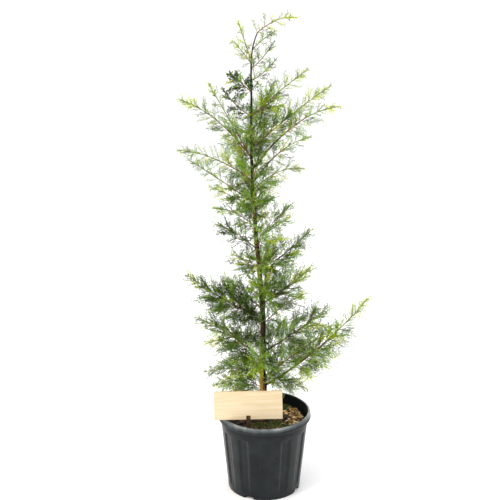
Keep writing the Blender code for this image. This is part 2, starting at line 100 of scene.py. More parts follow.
def scaleOf(size):
    # A pattern's scale from its grain's size in millimetres: one over the size in metres
    return (1 / (np.array(size) * mm)).tolist()


def woodGrain(shader, place, size, **inputs):
    # Fibres: noise whose grain has a size on each axis, long on the axis that the fibres run along
    drawn = addNode(shader, "ShaderNodeMapping", {"Vector": place}, {"Scale": scaleOf(size)})
    noise = {"Scale": 1.0, **inputs}
    noise = addNode(shader, "ShaderNodeTexNoise", {"Vector": drawn.outputs["Vector"]}, noise)
    return noise.outputs["Fac"]


def patterned(shader, pattern, stops, relief=None, strength=0.0, depth=0.0):
    # A pattern as the surface's colours, by stops of (place, hex colour), and one as heights that only
    # the light sees, with a depth in millimetres
    ramp = addNode(shader, "ShaderNodeValToRGB", {"Fac": pattern})
    elements = ramp.color_ramp.elements
    while len(elements) < len(stops):
        elements.new(0.5)
    for element, (place, colour) in zip(elements, stops):
        element.position = place
        element.color = linear(colour)
    setInput(shader, "Base Color", ramp.outputs["Color"])
    if relief:
        heights = {"Strength": strength, "Distance": depth * mm}
        bump = addNode(shader, "ShaderNodeBump", {"Height": relief}, heights)
        setInput(shader, "Normal", bump.outputs["Normal"])


# Meshes from arrays


def addObject(name, data):
    # An object in the scene for a mesh, a light or a camera
    thing = bpy.data.objects.new(name, data)
    bpy.context.scene.collection.objects.link(thing)
    return thing


def addPiece(name, points, faces, materials, faceMaterial=None, smooth=False):
    # A mesh object at the origin; faces are arrays of corner numbers, one array for each corner count
    mesh = bpy.data.meshes.new(name)
    sizes = np.concatenate([np.full(len(group), group.shape[1]) for group in faces])
    corners = np.concatenate([group.ravel() for group in faces])
    mesh.vertices.add(len(points))
    mesh.vertices.foreach_set("co", np.asarray(points, np.float32).ravel())
    mesh.loops.add(len(corners))
    mesh.loops.foreach_set("vertex_index", corners.astype(np.int32))
    mesh.polygons.add(len(sizes))
    mesh.polygons.foreach_set("loop_start", (np.cumsum(sizes) - sizes).astype(np.int32))
    if faceMaterial is not None:
        mesh.polygons.foreach_set("material_index", faceMaterial.astype(np.int32))
    mesh.polygons.foreach_set("use_smooth", np.full(len(sizes), smooth))
    for material in materials:
        mesh.materials.append(material)
    mesh.update(calc_edges=True)
    mesh.validate()
    return addObject(name, mesh)


def pointsOf(piece):
    # A piece's points as an array of rows
    points = np.empty(3 * len(piece.data.vertices), np.float32)
    piece.data.vertices.foreach_get("co", points)
    return points.reshape(-1, 3).astype(float)


def setPoints(piece, points):
    # A piece's points moved to the rows of an array
    piece.data.vertices.foreach_set("co", points.astype(np.float32).ravel())
    piece.data.update()


def setValues(piece, name, values):
    # A number for each point of a piece, which its material reads
    values = np.asarray(values, np.float32)
    piece.data.attributes.new(name, "FLOAT", "POINT").data.foreach_set("value", values)


def unit(vectors):
    # Each vector over its own length
    return vectors / np.linalg.norm(vectors, axis=-1, keepdims=True)


def squareTo(vectors, axes):
    # Each vector less its part along its axis, made one long
    return unit(vectors - axes * (vectors * axes).sum(-1, keepdims=True))


def anyAcross(vectors):
    # Some vector square to each
    return np.array([Vector(vector).orthogonal() for vector in vectors])


def spun(first, second, angle):
    # Between two ways square to each other: first x cos(angle) + second x sin(angle)
    return first * np.cos(angle) + second * np.sin(angle)


def evenTurns(count):
    # Angles round a full turn, in equal steps
    return np.arange(count) * fullTurn / count


def capped(rings):
    # Closed meshes from rings of points: quads between the rings of each, and its two end caps
    count, length, sides = rings.shape[:3]
    start = np.arange(count)[:, None, None] * length * sides
    i, j = np.arange(length - 1)[:, None] * sides, np.arange(sides)
    k = (j + 1) % sides
    quads = np.stack([i + j, i + k, i + k + sides, i + j + sides], axis=-1).reshape(-1, 4)
    ends = j + start[:, 0]
    caps = np.concatenate([ends[:, ::-1], ends + (length - 1) * sides])
    return rings.reshape(-1, 3), [(quads + start).reshape(-1, 4), caps]


def repeated(solids, faces):
    # Many small solids, one row of corners for each, with the same faces on every one
    offsets = solids.shape[1] * np.arange(len(solids))[:, None, None]
    return solids.reshape(-1, 3), [(np.array(faces)[None] + offsets).reshape(-1, len(faces[0]))]


def tubes(paths, radii, reference, sides, relief=None):
    # Closed tubes along paths of equal count. A ring is its path point plus the radius times
    # (cos a of one way across the path, sin a of the other); relief is a share of the radius.
    tangents = unit(np.gradient(paths, axis=1))
    side = unit(np.cross(tangents, reference))
    ring = spun(side[:, :, None], np.cross(tangents, side)[:, :, None], evenTurns(sides)[:, None])
    reach = radii[:, :, None] * (1 if relief is None else 1 + relief)
    return capped(paths[:, :, None] + ring * (reach[..., None] + np.zeros((1, 1, sides, 1))))


def outerPart(count, length, sides, share):
    # 1 for the faces of such tubes beyond a share of their length and for their end caps, else 0
    walls = np.repeat(np.tile(np.arange(length - 1) / (length - 1) > share, count), sides)
    return [walls, np.repeat((0, 1), count)]


def joined(parts):
    # Several (points, faces) as one, where each has the same kinds of faces
    offsets = np.cumsum([0] + [len(points) for points, _ in parts])
    points = np.concatenate([points for points, _ in parts])
    kinds = zip(*([group + offset for group in faces] for (_, faces), offset in zip(parts, offsets)))
    return points, [np.concatenate(kind) for kind in kinds]


def onBody(piece, slot, *nodes):
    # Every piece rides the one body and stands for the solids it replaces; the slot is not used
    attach(piece, "root")
    if nodes:
        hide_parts(*nodes)


# The trunk and the limbs, in millimetres, on the lines that the solids follow

trunk = dict(
    line=(
        (0, 176.3), (0, 190), (-2, 250), (-5, 330), (-4, 430), (-8, 510), (-15, 590),
        (-22, 670), (-27, 750), (-31, 830), (-33, 910), (-32, 980), (-33, 1040), (-31, 1090),
        (-25, 1118), (-19, 1135),
    ),
    taper=(
        (176, 13.5), (181, 11.2), (190, 9.6), (205, 8.8), (350, 7.2), (500, 6.0), (650, 5.0),
        (800, 3.8), (950, 2.7), (1050, 2.0), (1135, 1.3),
    ),
    step=2.5, coarseStep=45.0, sides=32, seed=5,
    # the bark's painted highlight: how strongly it shifts the colour, and the side facing the key light where
    # it is palest
    ridges=0.045, knots=0.16, knotSize=7.0, knotTurn=0.7, paleShare=0.5, litSide=(-0.9, -0.45),
    pale=(  # how pale the bark is by height on the side facing the key light: painted highlight there and painted shade on the far side
        (176, 0.6), (215, 0.95), (325, 0.9), (380, 0.55), (500, 0.6), (690, 0.7), (708, 1.1), (740, 1.1),
        (765, 0.5), (900, 0.3), (1050, 0.35), (1135, 0.5),
    ),
)

# Each limb: the height where it leaves the trunk, its tip, how far its middle arches up, the share that
# is a bare bough, its longest spray, its mix of leaf tints, and how densely finer sprays fill it
Limb = namedtuple("Limb", "name height tip arch bare spray mix density")
limbs = [Limb(*row) for row in (
    ("leader", 1135, (72, -4, 1170), 12, 0, 36, "young", 1.5),
    ("top_right_a", 1098, (24, 15, 1137), 4, 0, 30, "bright", 1.1),
    ("top_left_a", 1072, (-62, -10, 1163), -3, 0, 30, "young", 1.5),
    ("top_left_b", 1064, (-76, 22, 1114), 3, 0, 30, "young", 1.5),
    ("top_right_b", 1054, (20, -18, 1120), -6, 0, 40, "green", 1.0),
    ("top_right_c", 1026, (25, 26, 1071), -6, 0, 40, "bright", 1.08),
    ("upper_left_a", 1000, (-85, -20, 1046), 2, 0, 44, "dark", 2.2),
    ("upper_right_a", 950, (44, -80, 985), 6, 0, 60, "green", 1.0),
    ("upper_left_b", 944, (-100, 45, 1000), -8, 0, 34, "dark", 2.2),
    ("upper_right_b", 940, (100, 50, 1043), 6, 0, 55, "bright", 1.08),
    ("upper_right_c", 866, (151, 40, 1006), 6, 0, 66, "bright", 1.24),
    ("upper_left_c", 842, (-134, 95, 1001), 2, 0, 50, "bright", 1.1),
    ("middle_left_a", 846, (-198, -40, 993), 22, 0, 63, "bright", 1.08),
    ("middle_right_a", 816, (171, -35, 975), 34, 0.42, 50, "bright", 1.1),
    ("middle_back_a", 850, (24, 130, 1000), 18, 0, 76, "green", 1.0),
    ("middle_right_b", 785, (101, -90, 917), 22, 0.36, 41, "green", 1.35),
    ("middle_left_b", 790, (-207, 60, 848), 16, 0, 58, "soft", 1.15),
    ("middle_right_c", 768, (94, 90, 795), 18, 0, 55, "soft", 0.92),
    ("middle_front_a", 775, (-14, -135, 872), 20, 0, 76, "blue", 0.75),
    ("middle_left_c", 736, (-178, -55, 857), 2, 0, 60, "green", 0.8),
    ("middle_back_b", 716, (-59, 150, 810), 18, 0, 76, "green", 1.0),
    ("middle_left_d", 722, (-136, 105, 747), 4, 0, 56, "soft", 0.8),
    ("middle_left_e", 676, (-121, -95, 752), 14, 0, 62, "bright", 0.92),
    ("middle_right_e", 630, (67, -20, 744), 12, 0.30, 66, "soft", 1.15),
    ("middle_back_c", 668, (-34, 150, 770), 16, 0, 60, "green", 1.0),
    ("lower_left_a", 620, (-117, -70, 706), 10, 0.22, 74, "deep", 0.85),
    ("lower_front_a", 625, (4, -120, 690), 24, 0, 72, "blue", 0.6),
    ("lower_right_a", 570, (114, 50, 656), -8, 0, 82, "green", 1.3),
    ("lower_left_b", 565, (-84, 70, 588), 4, 0, 88, "deep", 0.75),
    ("lower_right_b", 486, (110, -50, 600), -10, 0, 92, "blue", 1.0),
    ("lower_front_b", 500, (2, -140, 565), 26, 0, 82, "green", 1.0),
    ("lower_back_a", 470, (-104, 150, 490), 2, 0, 80, "deep", 0.5),
    ("lower_left_c", 448, (-182, -60, 579), -9, 0.20, 92, "deep", 2.4),
    ("lower_right_c", 430, (98, -62, 534), 10, 0, 48, "soft", 0.75),
    ("low_left_a", 398, (-150, 105, 334), 10, 0, 84, "green", 0.55),
    ("low_right_a", 356, (152, -60, 500), -4, 0.26, 98, "blue", 0.8),
    ("low_left_b", 338, (-160, -100, 488), 10, 0.22, 90, "deep", 1.5),
    ("low_front", 330, (-30, -155, 369), 22, 0, 84, "green", 0.9),
    ("low_back", 318, (49, 175, 370), 18, 0, 96, "green", 0.55),
    ("low_left_c", 308, (-148, 30, 292), 8, 0, 86, "green", 0.8),
    ("low_right_b", 268, (255, 30, 490), -22, 0.26, 80, "bright", 1.35),
    ("low_right_c", 290, (178, -64, 456), 4, 0, 60, "blue", 1.8),
    ("low_left_d", 262, (-127, 70, 236), 18, 0, 78, "green", 1.4),
    ("low_right_d", 290, (104, -16, 266), 8, 0, 70, "soft", 1.955),
    ("upper_front", 892, (-34, -92, 925), 14, 0, 62, "green", 1.0),
    ("middle_front_b", 712, (-34, -128, 772), 20, 0, 74, "blue", 0.5),
    ("lower_front_c", 566, (-6, -130, 612), 22, 0, 78, "blue", 1.0),
)]
limbShape = dict(rootShare=0.0085, rootLeast=1.2, tip=0.7, step=45.0, fineStep=6.0, gap=0.3)
plumeNodes = [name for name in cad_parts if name.endswith("_plume")]
boughNodes = [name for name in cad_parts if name.endswith("_bough")]


def lengthsAlong(line):
    # Distance from a line's start to each of its points
    return np.concatenate([[0.0], np.cumsum(np.linalg.norm(np.diff(line, axis=0), axis=1))])


def pointsAt(line, distances):
    # Points at distances along a line, and the line's direction there
    along = lengthsAlong(line)
    i = np.clip(np.searchsorted(along, distances, side="right"), 1, len(line) - 1)
    direction = unit(line[i] - line[i - 1])
    return line[i - 1] + direction * (distances - along[i - 1])[:, None], direction


def resampled(line, step, start=0.0, end=None):
    # A stretch of a line with points about a step apart
    end = lengthsAlong(line)[-1] if end is None else end
    count = max(3, int(round((end - start) / step)) + 1)
    return pointsAt(line, np.linspace(start, end, count))[0]


def smoothLine(points, step):
    # Catmull-Rom: on each span b + ((c - a) t + (2a - 5b + 4c - d) t^2 + (3b - a - 3c + d) t^3) / 2
    ends = np.vstack([2 * points[0] - points[1], points, 2 * points[-1] - points[-2]])
    spans = []
    for a, b, c, d in zip(ends, ends[1:], ends[2:], ends[3:]):
        count = max(1, round(np.linalg.norm(c - b) / step))
        t = np.arange(count)[:, None] / count
        bend = (2 * a - 5 * b + 4 * c - d) * t * t + (3 * b - a - 3 * c + d) * t ** 3
        spans.append(b + 0.5 * ((c - a) * t + bend))
    return np.vstack([*spans, points[-1:]])


def limbLine(limb, trunkLine, step):
    # A quadratic Bezier from the trunk's axis to the limb's tip: (1 - t)^2 a + 2 t (1 - t) b + t^2 c
    height = limb.height * mm
    root = np.array((np.interp(height, trunkLine[:, 2], trunkLine[:, 0]), 0.0, height))
    end = np.array(limb.tip) * mm
    middle = (root + end) / 2 + up * 2 * limb.arch * mm
    count = max(3, round(np.linalg.norm(end - root) / step))
    t = np.arange(count + 1)[:, None] / count
    return root * (1 - t) ** 2 + middle * 2 * t * (1 - t) + end * t * t


def limbRadii(line):
    # From a share of the limb's length at its root, evenly down to its tip's radius
    along = lengthsAlong(line)
    root = max(limbShape["rootLeast"] * mm, limbShape["rootShare"] * along[-1])
    return root + (limbShape["tip"] * mm - root) * along / along[-1]


def splitLimb(limb, line):
    # The bare bough and the leafy stem of a limb, each as (line, radii), with a gap between them.
    # Points less than 1 mm from an end are left out.
    along, radii = lengthsAlong(line), limbRadii(line)
    split = limb.bare * along[-1]
    gap = limbShape["gap"] * mm if split else 0.0
    pieces = []
    for start, end in ((0.0, split), (split + gap, along[-1])):
        inner = (along > start + mm) & (along < end - mm)
        places = np.concatenate([[start], along[inner], [end]])
        pieces.append((pointsAt(line, places)[0], np.interp(places, along, radii)))
    return (pieces[0] if split else None), pieces[1]


trunkPoints = np.array([(x, 0.0, z) for x, z in trunk["line"]]) * mm
trunkLine = smoothLine(trunkPoints, trunk["coarseStep"] * mm)
trunkHeights, trunkRadii = np.array(trunk["taper"]).T * mm
coarse, fine = (
    [splitLimb(limb, limbLine(limb, trunkLine, limbShape[step] * mm)) for limb in limbs]
    for step in ("step", "fineStep")
)

# The space that each plume keeps to: points nearer its stem than any other, and clear of bare wood

space = dict(
    clearance=2.6, mingle=32.0, rimClear=6.0, potClear=5.0, outside=(6.0, 4.0, 6.0), chunk=4000, bare=-1,
    far=9.0,
)
pot = dict(height=204.0, rim=115.0, foot=89.0, brim=109.5, wall=2.2)
board = dict(
    width=166.0, height=72.0, thick=4.0, foot=(-39.0, -62.0, 207.6), roll=-1.2, lean=-5.0,
    slotWidth=10.6, slotDepth=10.0, corner=0.9, edge=0.35,
)
boardRoll, boardLean = np.radians((board["roll"], board["lean"]))
boardTurn = np.array([
    (np.cos(boardRoll), 0, np.sin(boardRoll)), (0, 1, 0), (-np.sin(boardRoll), 0, np.cos(boardRoll)),
]) @ np.array([
    (1, 0, 0), (0, np.cos(boardLean), -np.sin(boardLean)), (0, np.sin(boardLean), np.cos(boardLean)),
])
boardFoot = np.array(board["foot"]) * mm

segments = [(space["bare"], trunkLine, np.interp(trunkLine[:, 2], trunkHeights, trunkRadii))]
for number, (bough, stem) in enumerate(coarse):
    if bough:
        segments.append((space["bare"], *bough))
    segments.append((number, *stem))
segmentOwner = np.concatenate([np.full(len(line) - 1, owner) for owner, line, _ in segments])
segmentStart = np.concatenate([line[:-1] for _, line, _ in segments])
segmentSpan = np.concatenate([np.diff(line, axis=0) for _, line, _ in segments])
segmentThick = np.concatenate([np.stack([r[:-1], r[1:]], 1) for _, _, r in segments])


def isFree(points, owner):
    # Distance to a segment: from the point to the nearest place on it, less the limb's radius there
    clearance = space["clearance"] * mm
    free = np.ones(len(points), bool)
    for first in range(0, len(points), space["chunk"]):
        part = slice(first, first + space["chunk"])
        offset = points[part, None] - segmentStart
        share = np.clip((offset * segmentSpan).sum(2) / (segmentSpan ** 2).sum(1), 0, 1)
        away = np.linalg.norm(offset - share[..., None] * segmentSpan, axis=2)
        away -= segmentThick[:, 0] + (segmentThick[:, 1] - segmentThick[:, 0]) * share
        bare = segmentOwner == space["bare"]
        own = segmentOwner == owner[part, None]
        toBare = away[:, bare].min(1)
        toOwn = np.where(own, away, space["far"]).min(1)
        toOther = np.where(own | bare, space["far"], away).min(1)
        free[part] = (toBare > clearance) & (toOwn < toOther + space["mingle"] * mm)
    outside = np.array(space["outside"]) * mm
    free &= ((points > np.array(cadBox[0]) - outside) & (points < np.array(cadBox[1]) + outside)).all(1)
    low = points[:, 2] < (pot["height"] + space["potClear"]) * mm
    over = np.hypot(points[:, 0], points[:, 1]) < (pot["rim"] + space["rimClear"]) * mm
    local = (points - boardFoot) @ boardTurn - np.array((0, 0, board["height"] / 2)) * mm
    half = np.array((board["width"], board["thick"], board["height"])) / 2 * mm + 2 * clearance
    return free & ~(low & over) & ~(np.abs(local) < half).all(1)


# The sprays. A shoot's line is root + along x length x u + curl x u^2, with u from 0 to 1.

Shoots = namedtuple("Shoots", "root along across length curl owner share tint")
sprays = dict(
    seed=11, spacing=42.0, first=0.7, margin=0.5, angle=46.0, turn=137.5, jitter=9.0, widestAt=0.22,
    rootTaper=0.1, tipTaper=0.86, tipShare=0.8, curl=0.07, curlVary=(0.2, 1.0),
    outline=((0.0, 0.03), (0.36, 0.34), (0.40, 0.09), (0.72, 0.2244)), delay=0.12, between=(0.0, 0.33, 0.67),
    rootFree=5.0, shortest=15.0, tries=(1.0, 0.82, 0.66, 0.5),
)
finer = dict(  # the sprays between those, one for so many millimetres of a limb's longest spray
    every=7.0, first=0.2, vary=0.6, crowding=1.6, length=(0.5, 1.05), turnStart=68.0, turnJitter=20.0,
    rootSpread=26.0, angleJitter=12.0, leafyFoot=("lower_left_c", "low_left_b"), footStart=0.15,
)
twigs = dict(
    spacing=4.5, first=(0.1, 0.6), angle=(24.0, 42.0), start=0.10, length=0.50, lengthVary=(0.7, 1.0),
    shortest=5.0, fall=0.8, twist=45.0, curl=0.12, longestBare=12.0, nextSpacing=4.6, nextLength=0.5,
)


def picked(shoots, which):
    # Some of the shoots
    return Shoots(*(field[which] for field in shoots))


def gathered(groups):
    # Several sets of shoots as one
    return Shoots(*(np.concatenate(field) for field in zip(*groups)))


def placeOn(shoots, owner, u):
    # The place and the direction at a share of a shoot's length
    span = shoots.along[owner] * shoots.length[owner, None]
    place = shoots.root[owner] + span * u[:, None] + shoots.curl[owner] * (u * u)[:, None]
    return place, unit(span + 2 * shoots.curl[owner] * u[:, None])


def blade(shoots, lengths):
    # Points round each spray's toothed outline, on the plane of its own two ways. The teeth of one
    # side sit farther out than the other's. The first few millimetres don't count.
    sides = [
        [(place + (delay if place else 0.0), side * reach) for place, reach in sprays["outline"]]
        for side, delay in ((1, 0.0), (-1, sprays["delay"]))
    ]
    outline = np.array([*sides[0], (1.0, 0.0), *reversed(sides[1])])
    following = np.roll(outline, -1, axis=0)
    flat = np.concatenate([outline + (following - outline) * t for t in sprays["between"]])
    flat = flat[None] * lengths[:, None, None]
    points = shoots.root[:, None] + flat[..., :1] * shoots.along[:, None]
    return points + flat[..., 1:] * shoots.across[:, None], flat[..., 0] > sprays["rootFree"] * mm


def fitted(shoots):
    # Each spray as long as its space allows, or dropped where even its shortest doesn't fit
    lengths = np.zeros(len(shoots.length))
    for share in sprays["tries"]:
        left = np.flatnonzero(lengths == 0)
        some = picked(shoots, left)
        tried = np.maximum(some.length * share, np.minimum(some.length, sprays["shortest"] * mm))
        points, counted = blade(some, tried)
        owners = np.repeat(some.owner, points.shape[1])
        free = isFree(points.reshape(-1, 3), owners).reshape(counted.shape) | ~counted
        good = free.all(1)
        lengths[left[good]] = tried[good]
    return picked(shoots._replace(length=lengths), lengths > 0)


def shootsOnStem(number, limb, bough, line, chance):
    # The source's sprays down one stem, a golden turn apart, then finer ones between them, which on some
    # limbs start on the bough. Longest at one place: less a square towards the root, evenly to the tip.
    total = lengthsAlong(line)[-1]
    count = max(2, round(total / (sprays["spacing"] * mm)))
    own = random.Random(sprays["seed"] + number)
    first = own.uniform(0, 360)
    jitter = np.array([[own.uniform(-1, 1) for _ in range(2)] for _ in range(count)]) * sprays["jitter"]
    more = round(count * limb.spray / finer["every"] * limb.density)
    even = np.arange(more) + finer["first"] + finer["vary"] * chance.random(more)
    even = (even / (more + sprays["margin"])) ** finer["crowding"]
    share = np.append((np.arange(count) + sprays["first"]) / (count + sprays["margin"]), even)
    turned = chance.uniform(-finer["turnJitter"], finer["turnJitter"], more)
    turn = np.append(
        first + np.cumsum(sprays["turn"] + jitter[:, 0]),
        first + finer["turnStart"] + np.cumsum(sprays["turn"] + turned),
    )
    tilted = chance.uniform(-finer["angleJitter"], finer["angleJitter"], more)
    tilted = sprays["angle"] + finer["rootSpread"] * (1 - even) ** 2 + tilted
    tilt = np.append(sprays["angle"] + jitter[:, 1], tilted)
    size = np.append(np.ones(count), chance.uniform(*finer["length"], more))
    root, tangent = pointsAt(line, share * total)
    if limb.name in finer["leafyFoot"]:
        foot = lengthsAlong(bough)[-1]
        places = foot * finer["footStart"] + even * (total + foot * (1 - finer["footStart"]))
        root[count:], tangent[count:] = pointsAt(np.vstack([bough, line]), places)
    start = unit(anyAcross(tangent))
    side = spun(start, np.cross(tangent, start), np.radians(turn)[:, None])
    along = spun(tangent, side, np.radians(tilt)[:, None])
    across = squareTo(side, along)
    widest = sprays["widestAt"]
    rootward = sprays["rootTaper"] * ((widest - share) / widest) ** 2
    tipward = sprays["tipTaper"] * (share - widest) / (1 - widest)
    length = limb.spray * mm * size * (1 - np.where(share < widest, rootward, tipward))
    # One more spray ends the stem
    last = min(sprays["tipShare"] * total, limb.spray * mm)
    tipRoot = pointsAt(line, np.array([total - last]))[0]
    tipSpan = line[-1:] - tipRoot
    root = np.vstack([root, tipRoot])
    along = np.vstack([along, unit(tipSpan)])
    across = np.vstack([across, unit(anyAcross(tipSpan))])
    length = np.append(length, np.linalg.norm(tipSpan))
    share = np.append(share, 1.0)
    curl = up * (length * sprays["curl"])[:, None] * chance.uniform(*sprays["curlVary"], (len(length), 1))
    curl[-1] = 0
    none = np.zeros(len(length), int)
    return Shoots(root, along, across, length, curl, none + number, share, none)


def borne(lengths, spacing):
    # What shoots bear at a spacing, two or more each: each one's shoot, its number on it, and the
    # shoot's count
    count = np.maximum(2, np.round(lengths / (spacing * mm))).astype(int)
    owner = np.repeat(np.arange(len(count)), count)
    order = np.arange(count.sum()) - np.repeat(np.cumsum(count) - count, count)
    return owner, order, count[owner]


def branched(parents, spacing, reach, chance):
    # Twigs alternately to either side of each parent, in a twisting plane. A twig's length is the
    # parent's x reach x (1 - its place)^fall x chance.
    owner, order, count = borne(parents.length, spacing)
    amount = len(order)
    u = twigs["start"] + (1 - twigs["start"]) * (order + chance.uniform(*twigs["first"], amount)) / count
    root, tangent = placeOn(parents, owner, u)
    twist = np.radians(chance.uniform(-twigs["twist"], twigs["twist"], amount))[:, None]
    side = squareTo(parents.across[owner], tangent)
    side = spun(side, np.cross(tangent, side), twist) * np.where(order % 2, 1, -1)[:, None]
    along = spun(tangent, side, np.radians(chance.uniform(*twigs["angle"], amount))[:, None])
    length = parents.length[owner] * reach * (1 - u) ** twigs["fall"]
    length = np.maximum(length * chance.uniform(*twigs["lengthVary"], amount), twigs["shortest"] * mm)
    curl = (tangent - along) * (length * twigs["curl"])[:, None]
    kept = isFree(root + along * length[:, None] + curl, parents.owner[owner])
    across = squareTo(side, along)
    made = Shoots(root, along, across, length, curl, parents.owner[owner], u, parents.tint[owner])
    return picked(made, kept)


print("growing the sprays")
shoots = fitted(gathered([
    shootsOnStem(number, limb, bough and bough[0], stem[0], np.random.default_rng([sprays["seed"], number]))
    for number, (limb, (bough, stem)) in enumerate(zip(limbs, fine))
]))

# Leaf tints: each has a light and a dark shade, and a spray is dealt one shade of one tint. A mix is
# the share of each tint.

tints = dict(
    deep=("#456322", "#0f1907"), mid=("#93b92e", "#345410"), glaucous=("#a4c66a", "#4a6e2c"),
    fresh=("#d2e024", "#84a20c"), pale=("#e6ea62", "#b0b42e"),
)
# The dark and deep mixes are mostly the deep tint, whose dark shade is near black: on their limbs this is
# partly darker inner foliage and partly painted shade
mixes = dict(
    bright=(0.12, 0.40, 0.18, 0.24, 0.06), green=(0.25, 0.44, 0.20, 0.08, 0.03),
    dark=(0.74, 0.18, 0.08, 0.00, 0.00), deep=(0.71, 0.17, 0.10, 0.02, 0.00),
    young=(0.00, 0.16, 0.04, 0.52, 0.28), blue=(0.22, 0.29, 0.43, 0.04, 0.02),
    soft=(0.10, 0.28, 0.36, 0.08, 0.18),
)
glow = dict(  # towards a limb's tip sprays turn fresh and pale, less so on some
    start=0.55, most=0.65, young=(0.0, 0.0, 0.0, 0.6, 0.4), shades=3,
    less=dict(dark=0.1, blue=0.25, green=0.4, soft=0.6, deep=0.8),
)


def byMix(table, owner):
    # What a table gives each limb's mix, or 1, for the limb that each shoot is on
    return np.array([table.get(limb.mix, 1.0) for limb in limbs])[owner]


def dealTints(shoots, chance):
    # A tint by the limb's mix, moved towards fresh and pale near the limb's tip
    shift = np.clip((shoots.share - glow["start"]) / (1 - glow["start"]), 0, 1) * glow["most"]
    shift = (shift * byMix(glow["less"], shoots.owner))[:, None]
    weights = byMix(mixes, shoots.owner) * (1 - shift) + np.array(glow["young"]) * shift
    edges = np.cumsum(weights, axis=1) / weights.sum(1, keepdims=True)
    tint = (chance.random((len(edges), 1)) > edges).sum(1)
    shade = chance.integers(0, glow["shades"], len(edges))
    return np.minimum(tint, len(tints) - 1) * glow["shades"] + shade


leafChance = np.random.default_rng(sprays["seed"])
shoots = shoots._replace(tint=dealTints(shoots, leafChance))
twiglets = branched(shoots, twigs["spacing"], twigs["length"], leafChance)
shade = twiglets.tint % glow["shades"]
moved = np.clip(shade + leafChance.integers(-1, 2, len(shade)), 0, glow["shades"] - 1)
twiglets = twiglets._replace(tint=twiglets.tint - shade + moved)
long = picked(twiglets, twiglets.length > twigs["longestBare"] * mm)
twiglets = gathered([twiglets, branched(long, twigs["nextSpacing"], twigs["nextLength"], leafChance)])
print(len(shoots.length), "shoots,", len(twiglets.length), "twiglets")

leaf = dict(
    spacing=5.3, first=0.6, length=(5.0, 7.0), tipTaper=0.25, width=0.9, keel=0.28, shoulder=0.42,
    angle=(7.0, 17.0), shootBare=0.15, twigletBare=0.05, stemPiece=20.0, stemStart=0.35,
    stemAngle=(16.0, 30.0), broad=dict(dark=2.2, young=1.2),
    most=48000,  # in one piece, which keeps it under 200,000 triangles
)
kite = ((0, 3, 2), (1, 2, 3), (0, 1, 3), (0, 2, 1))


def leavesOn(shoots, start, angle, chance):
    # Pairs of leaves down each twig, each pair a quarter turn from the last. A leaf is a closed
    # kite: its root and tip on one line, and two shoulders raised off it.
    owner, order, count = borne(shoots.length * (1 - start), leaf["spacing"])
    u = start + (1 - start) * (order + leaf["first"]) / count
    base, tangent = placeOn(shoots, owner, u)
    side = squareTo(shoots.across[owner], tangent)
    side = np.where((order % 2)[:, None] == 1, np.cross(tangent, side), side)
    base, tangent = np.repeat(base, 2, 0), np.repeat(tangent, 2, 0)
    side = np.stack([side, -side], 1).reshape(-1, 3)
    tilt = np.radians(chance.uniform(*angle, len(base)))[:, None]
    length = chance.uniform(*leaf["length"], len(base))[:, None] * mm
    length = length * np.repeat(1 - leaf["tipTaper"] * u, 2)[:, None]
    ahead, outward = spun(tangent, side, tilt), spun(side, -tangent, tilt)
    broad = np.repeat(byMix(leaf["broad"], shoots.owner[owner]), 2)[:, None] * mm
    lateral = np.cross(tangent, side) * leaf["width"] / 2 * broad
    waist = base + ahead * length * leaf["shoulder"] + outward * leaf["keel"] * broad
    points = np.stack([base, base + ahead * length, waist - lateral, waist + lateral], 1)
    return points, np.repeat(shoots.tint[owner], 2), np.repeat(shoots.owner[owner], 2)


def leafyStems(chance):
    # The outer part of each limb's stem as short shoots end to end, to carry leaves of its own
    made = []
    for number, (_, (line, _)) in enumerate(fine):
        total = lengthsAlong(line)[-1]
        path = resampled(line, leaf["stemPiece"] * mm, leaf["stemStart"] * total, total)
        span = np.diff(path, axis=0)
        length = np.linalg.norm(span, axis=1)
        along = span / length[:, None]
        across = unit(anyAcross(along))
        share = np.linspace(leaf["stemStart"], 1, len(span))
        none = np.zeros(len(span), int)
        made.append(Shoots(path[:-1], along, across, length, span * 0, none + number, share, none))
    made = gathered(made)
    return made._replace(tint=dealTints(made, chance))


leafSets = [
    leavesOn(shoots, leaf["shootBare"], leaf["angle"], leafChance),
    leavesOn(twiglets, leaf["twigletBare"], leaf["angle"], leafChance),
    leavesOn(leafyStems(leafChance), 0.0, leaf["stemAngle"], leafChance),
]
leafPoints, leafTint, leafOwner = (np.concatenate(part) for part in zip(*leafSets))
print(len(leafPoints), "leaves")

# Scale leaf: waxy cuticle over soft green tissue, which gives a dull sheen and pale edges
for tintNumber, (tintName, (light, dark)) in enumerate(tints.items()):
    leafMaterials = []
    for shade in range(glow["shades"]):
        share = shade / (glow["shades"] - 1)
        colour = np.array(linear(light)) * (1 - share) + np.array(linear(dark)) * share
        name = "scale_leaf_%s_%d" % (tintName, shade + 1)
        material, shader = newMaterial(name, light, Roughness=0.7, Specular_IOR_Level=0.12)
        shader.inputs["Base Color"].default_value = colour.tolist()
        leafMaterials.append(material)
    chosen = np.flatnonzero(leafTint // glow["shades"] == tintNumber)
    chosen = chosen[np.argsort(leafOwner[chosen], kind="stable")]
    pieces = int(np.ceil(len(chosen) / leaf["most"]))
    for number, part in enumerate(np.array_split(chosen, pieces), 1):
        shades = np.repeat(leafTint[part] % glow["shades"], len(kite))
        name = "%s_leaves_%d" % (tintName, number)
        onBody(addPiece(name, *repeated(leafPoints[part], kite), leafMaterials, shades), "foliage")

# Twigs: the leafy stems and the shoots' own wood

print("twigs")
twigShape = dict(
    stemSides=7, stemWood=0.4, stemEnd=2.0, shootRadius=(0.6, 0.26), shootSides=4, shootRings=4,
    shootWood=0.2, twigletRadius=0.42, twigletTurns=(90, 210, 330),
)
spike = ((0, 1, 3), (1, 2, 3), (2, 0, 3), (0, 2, 1))


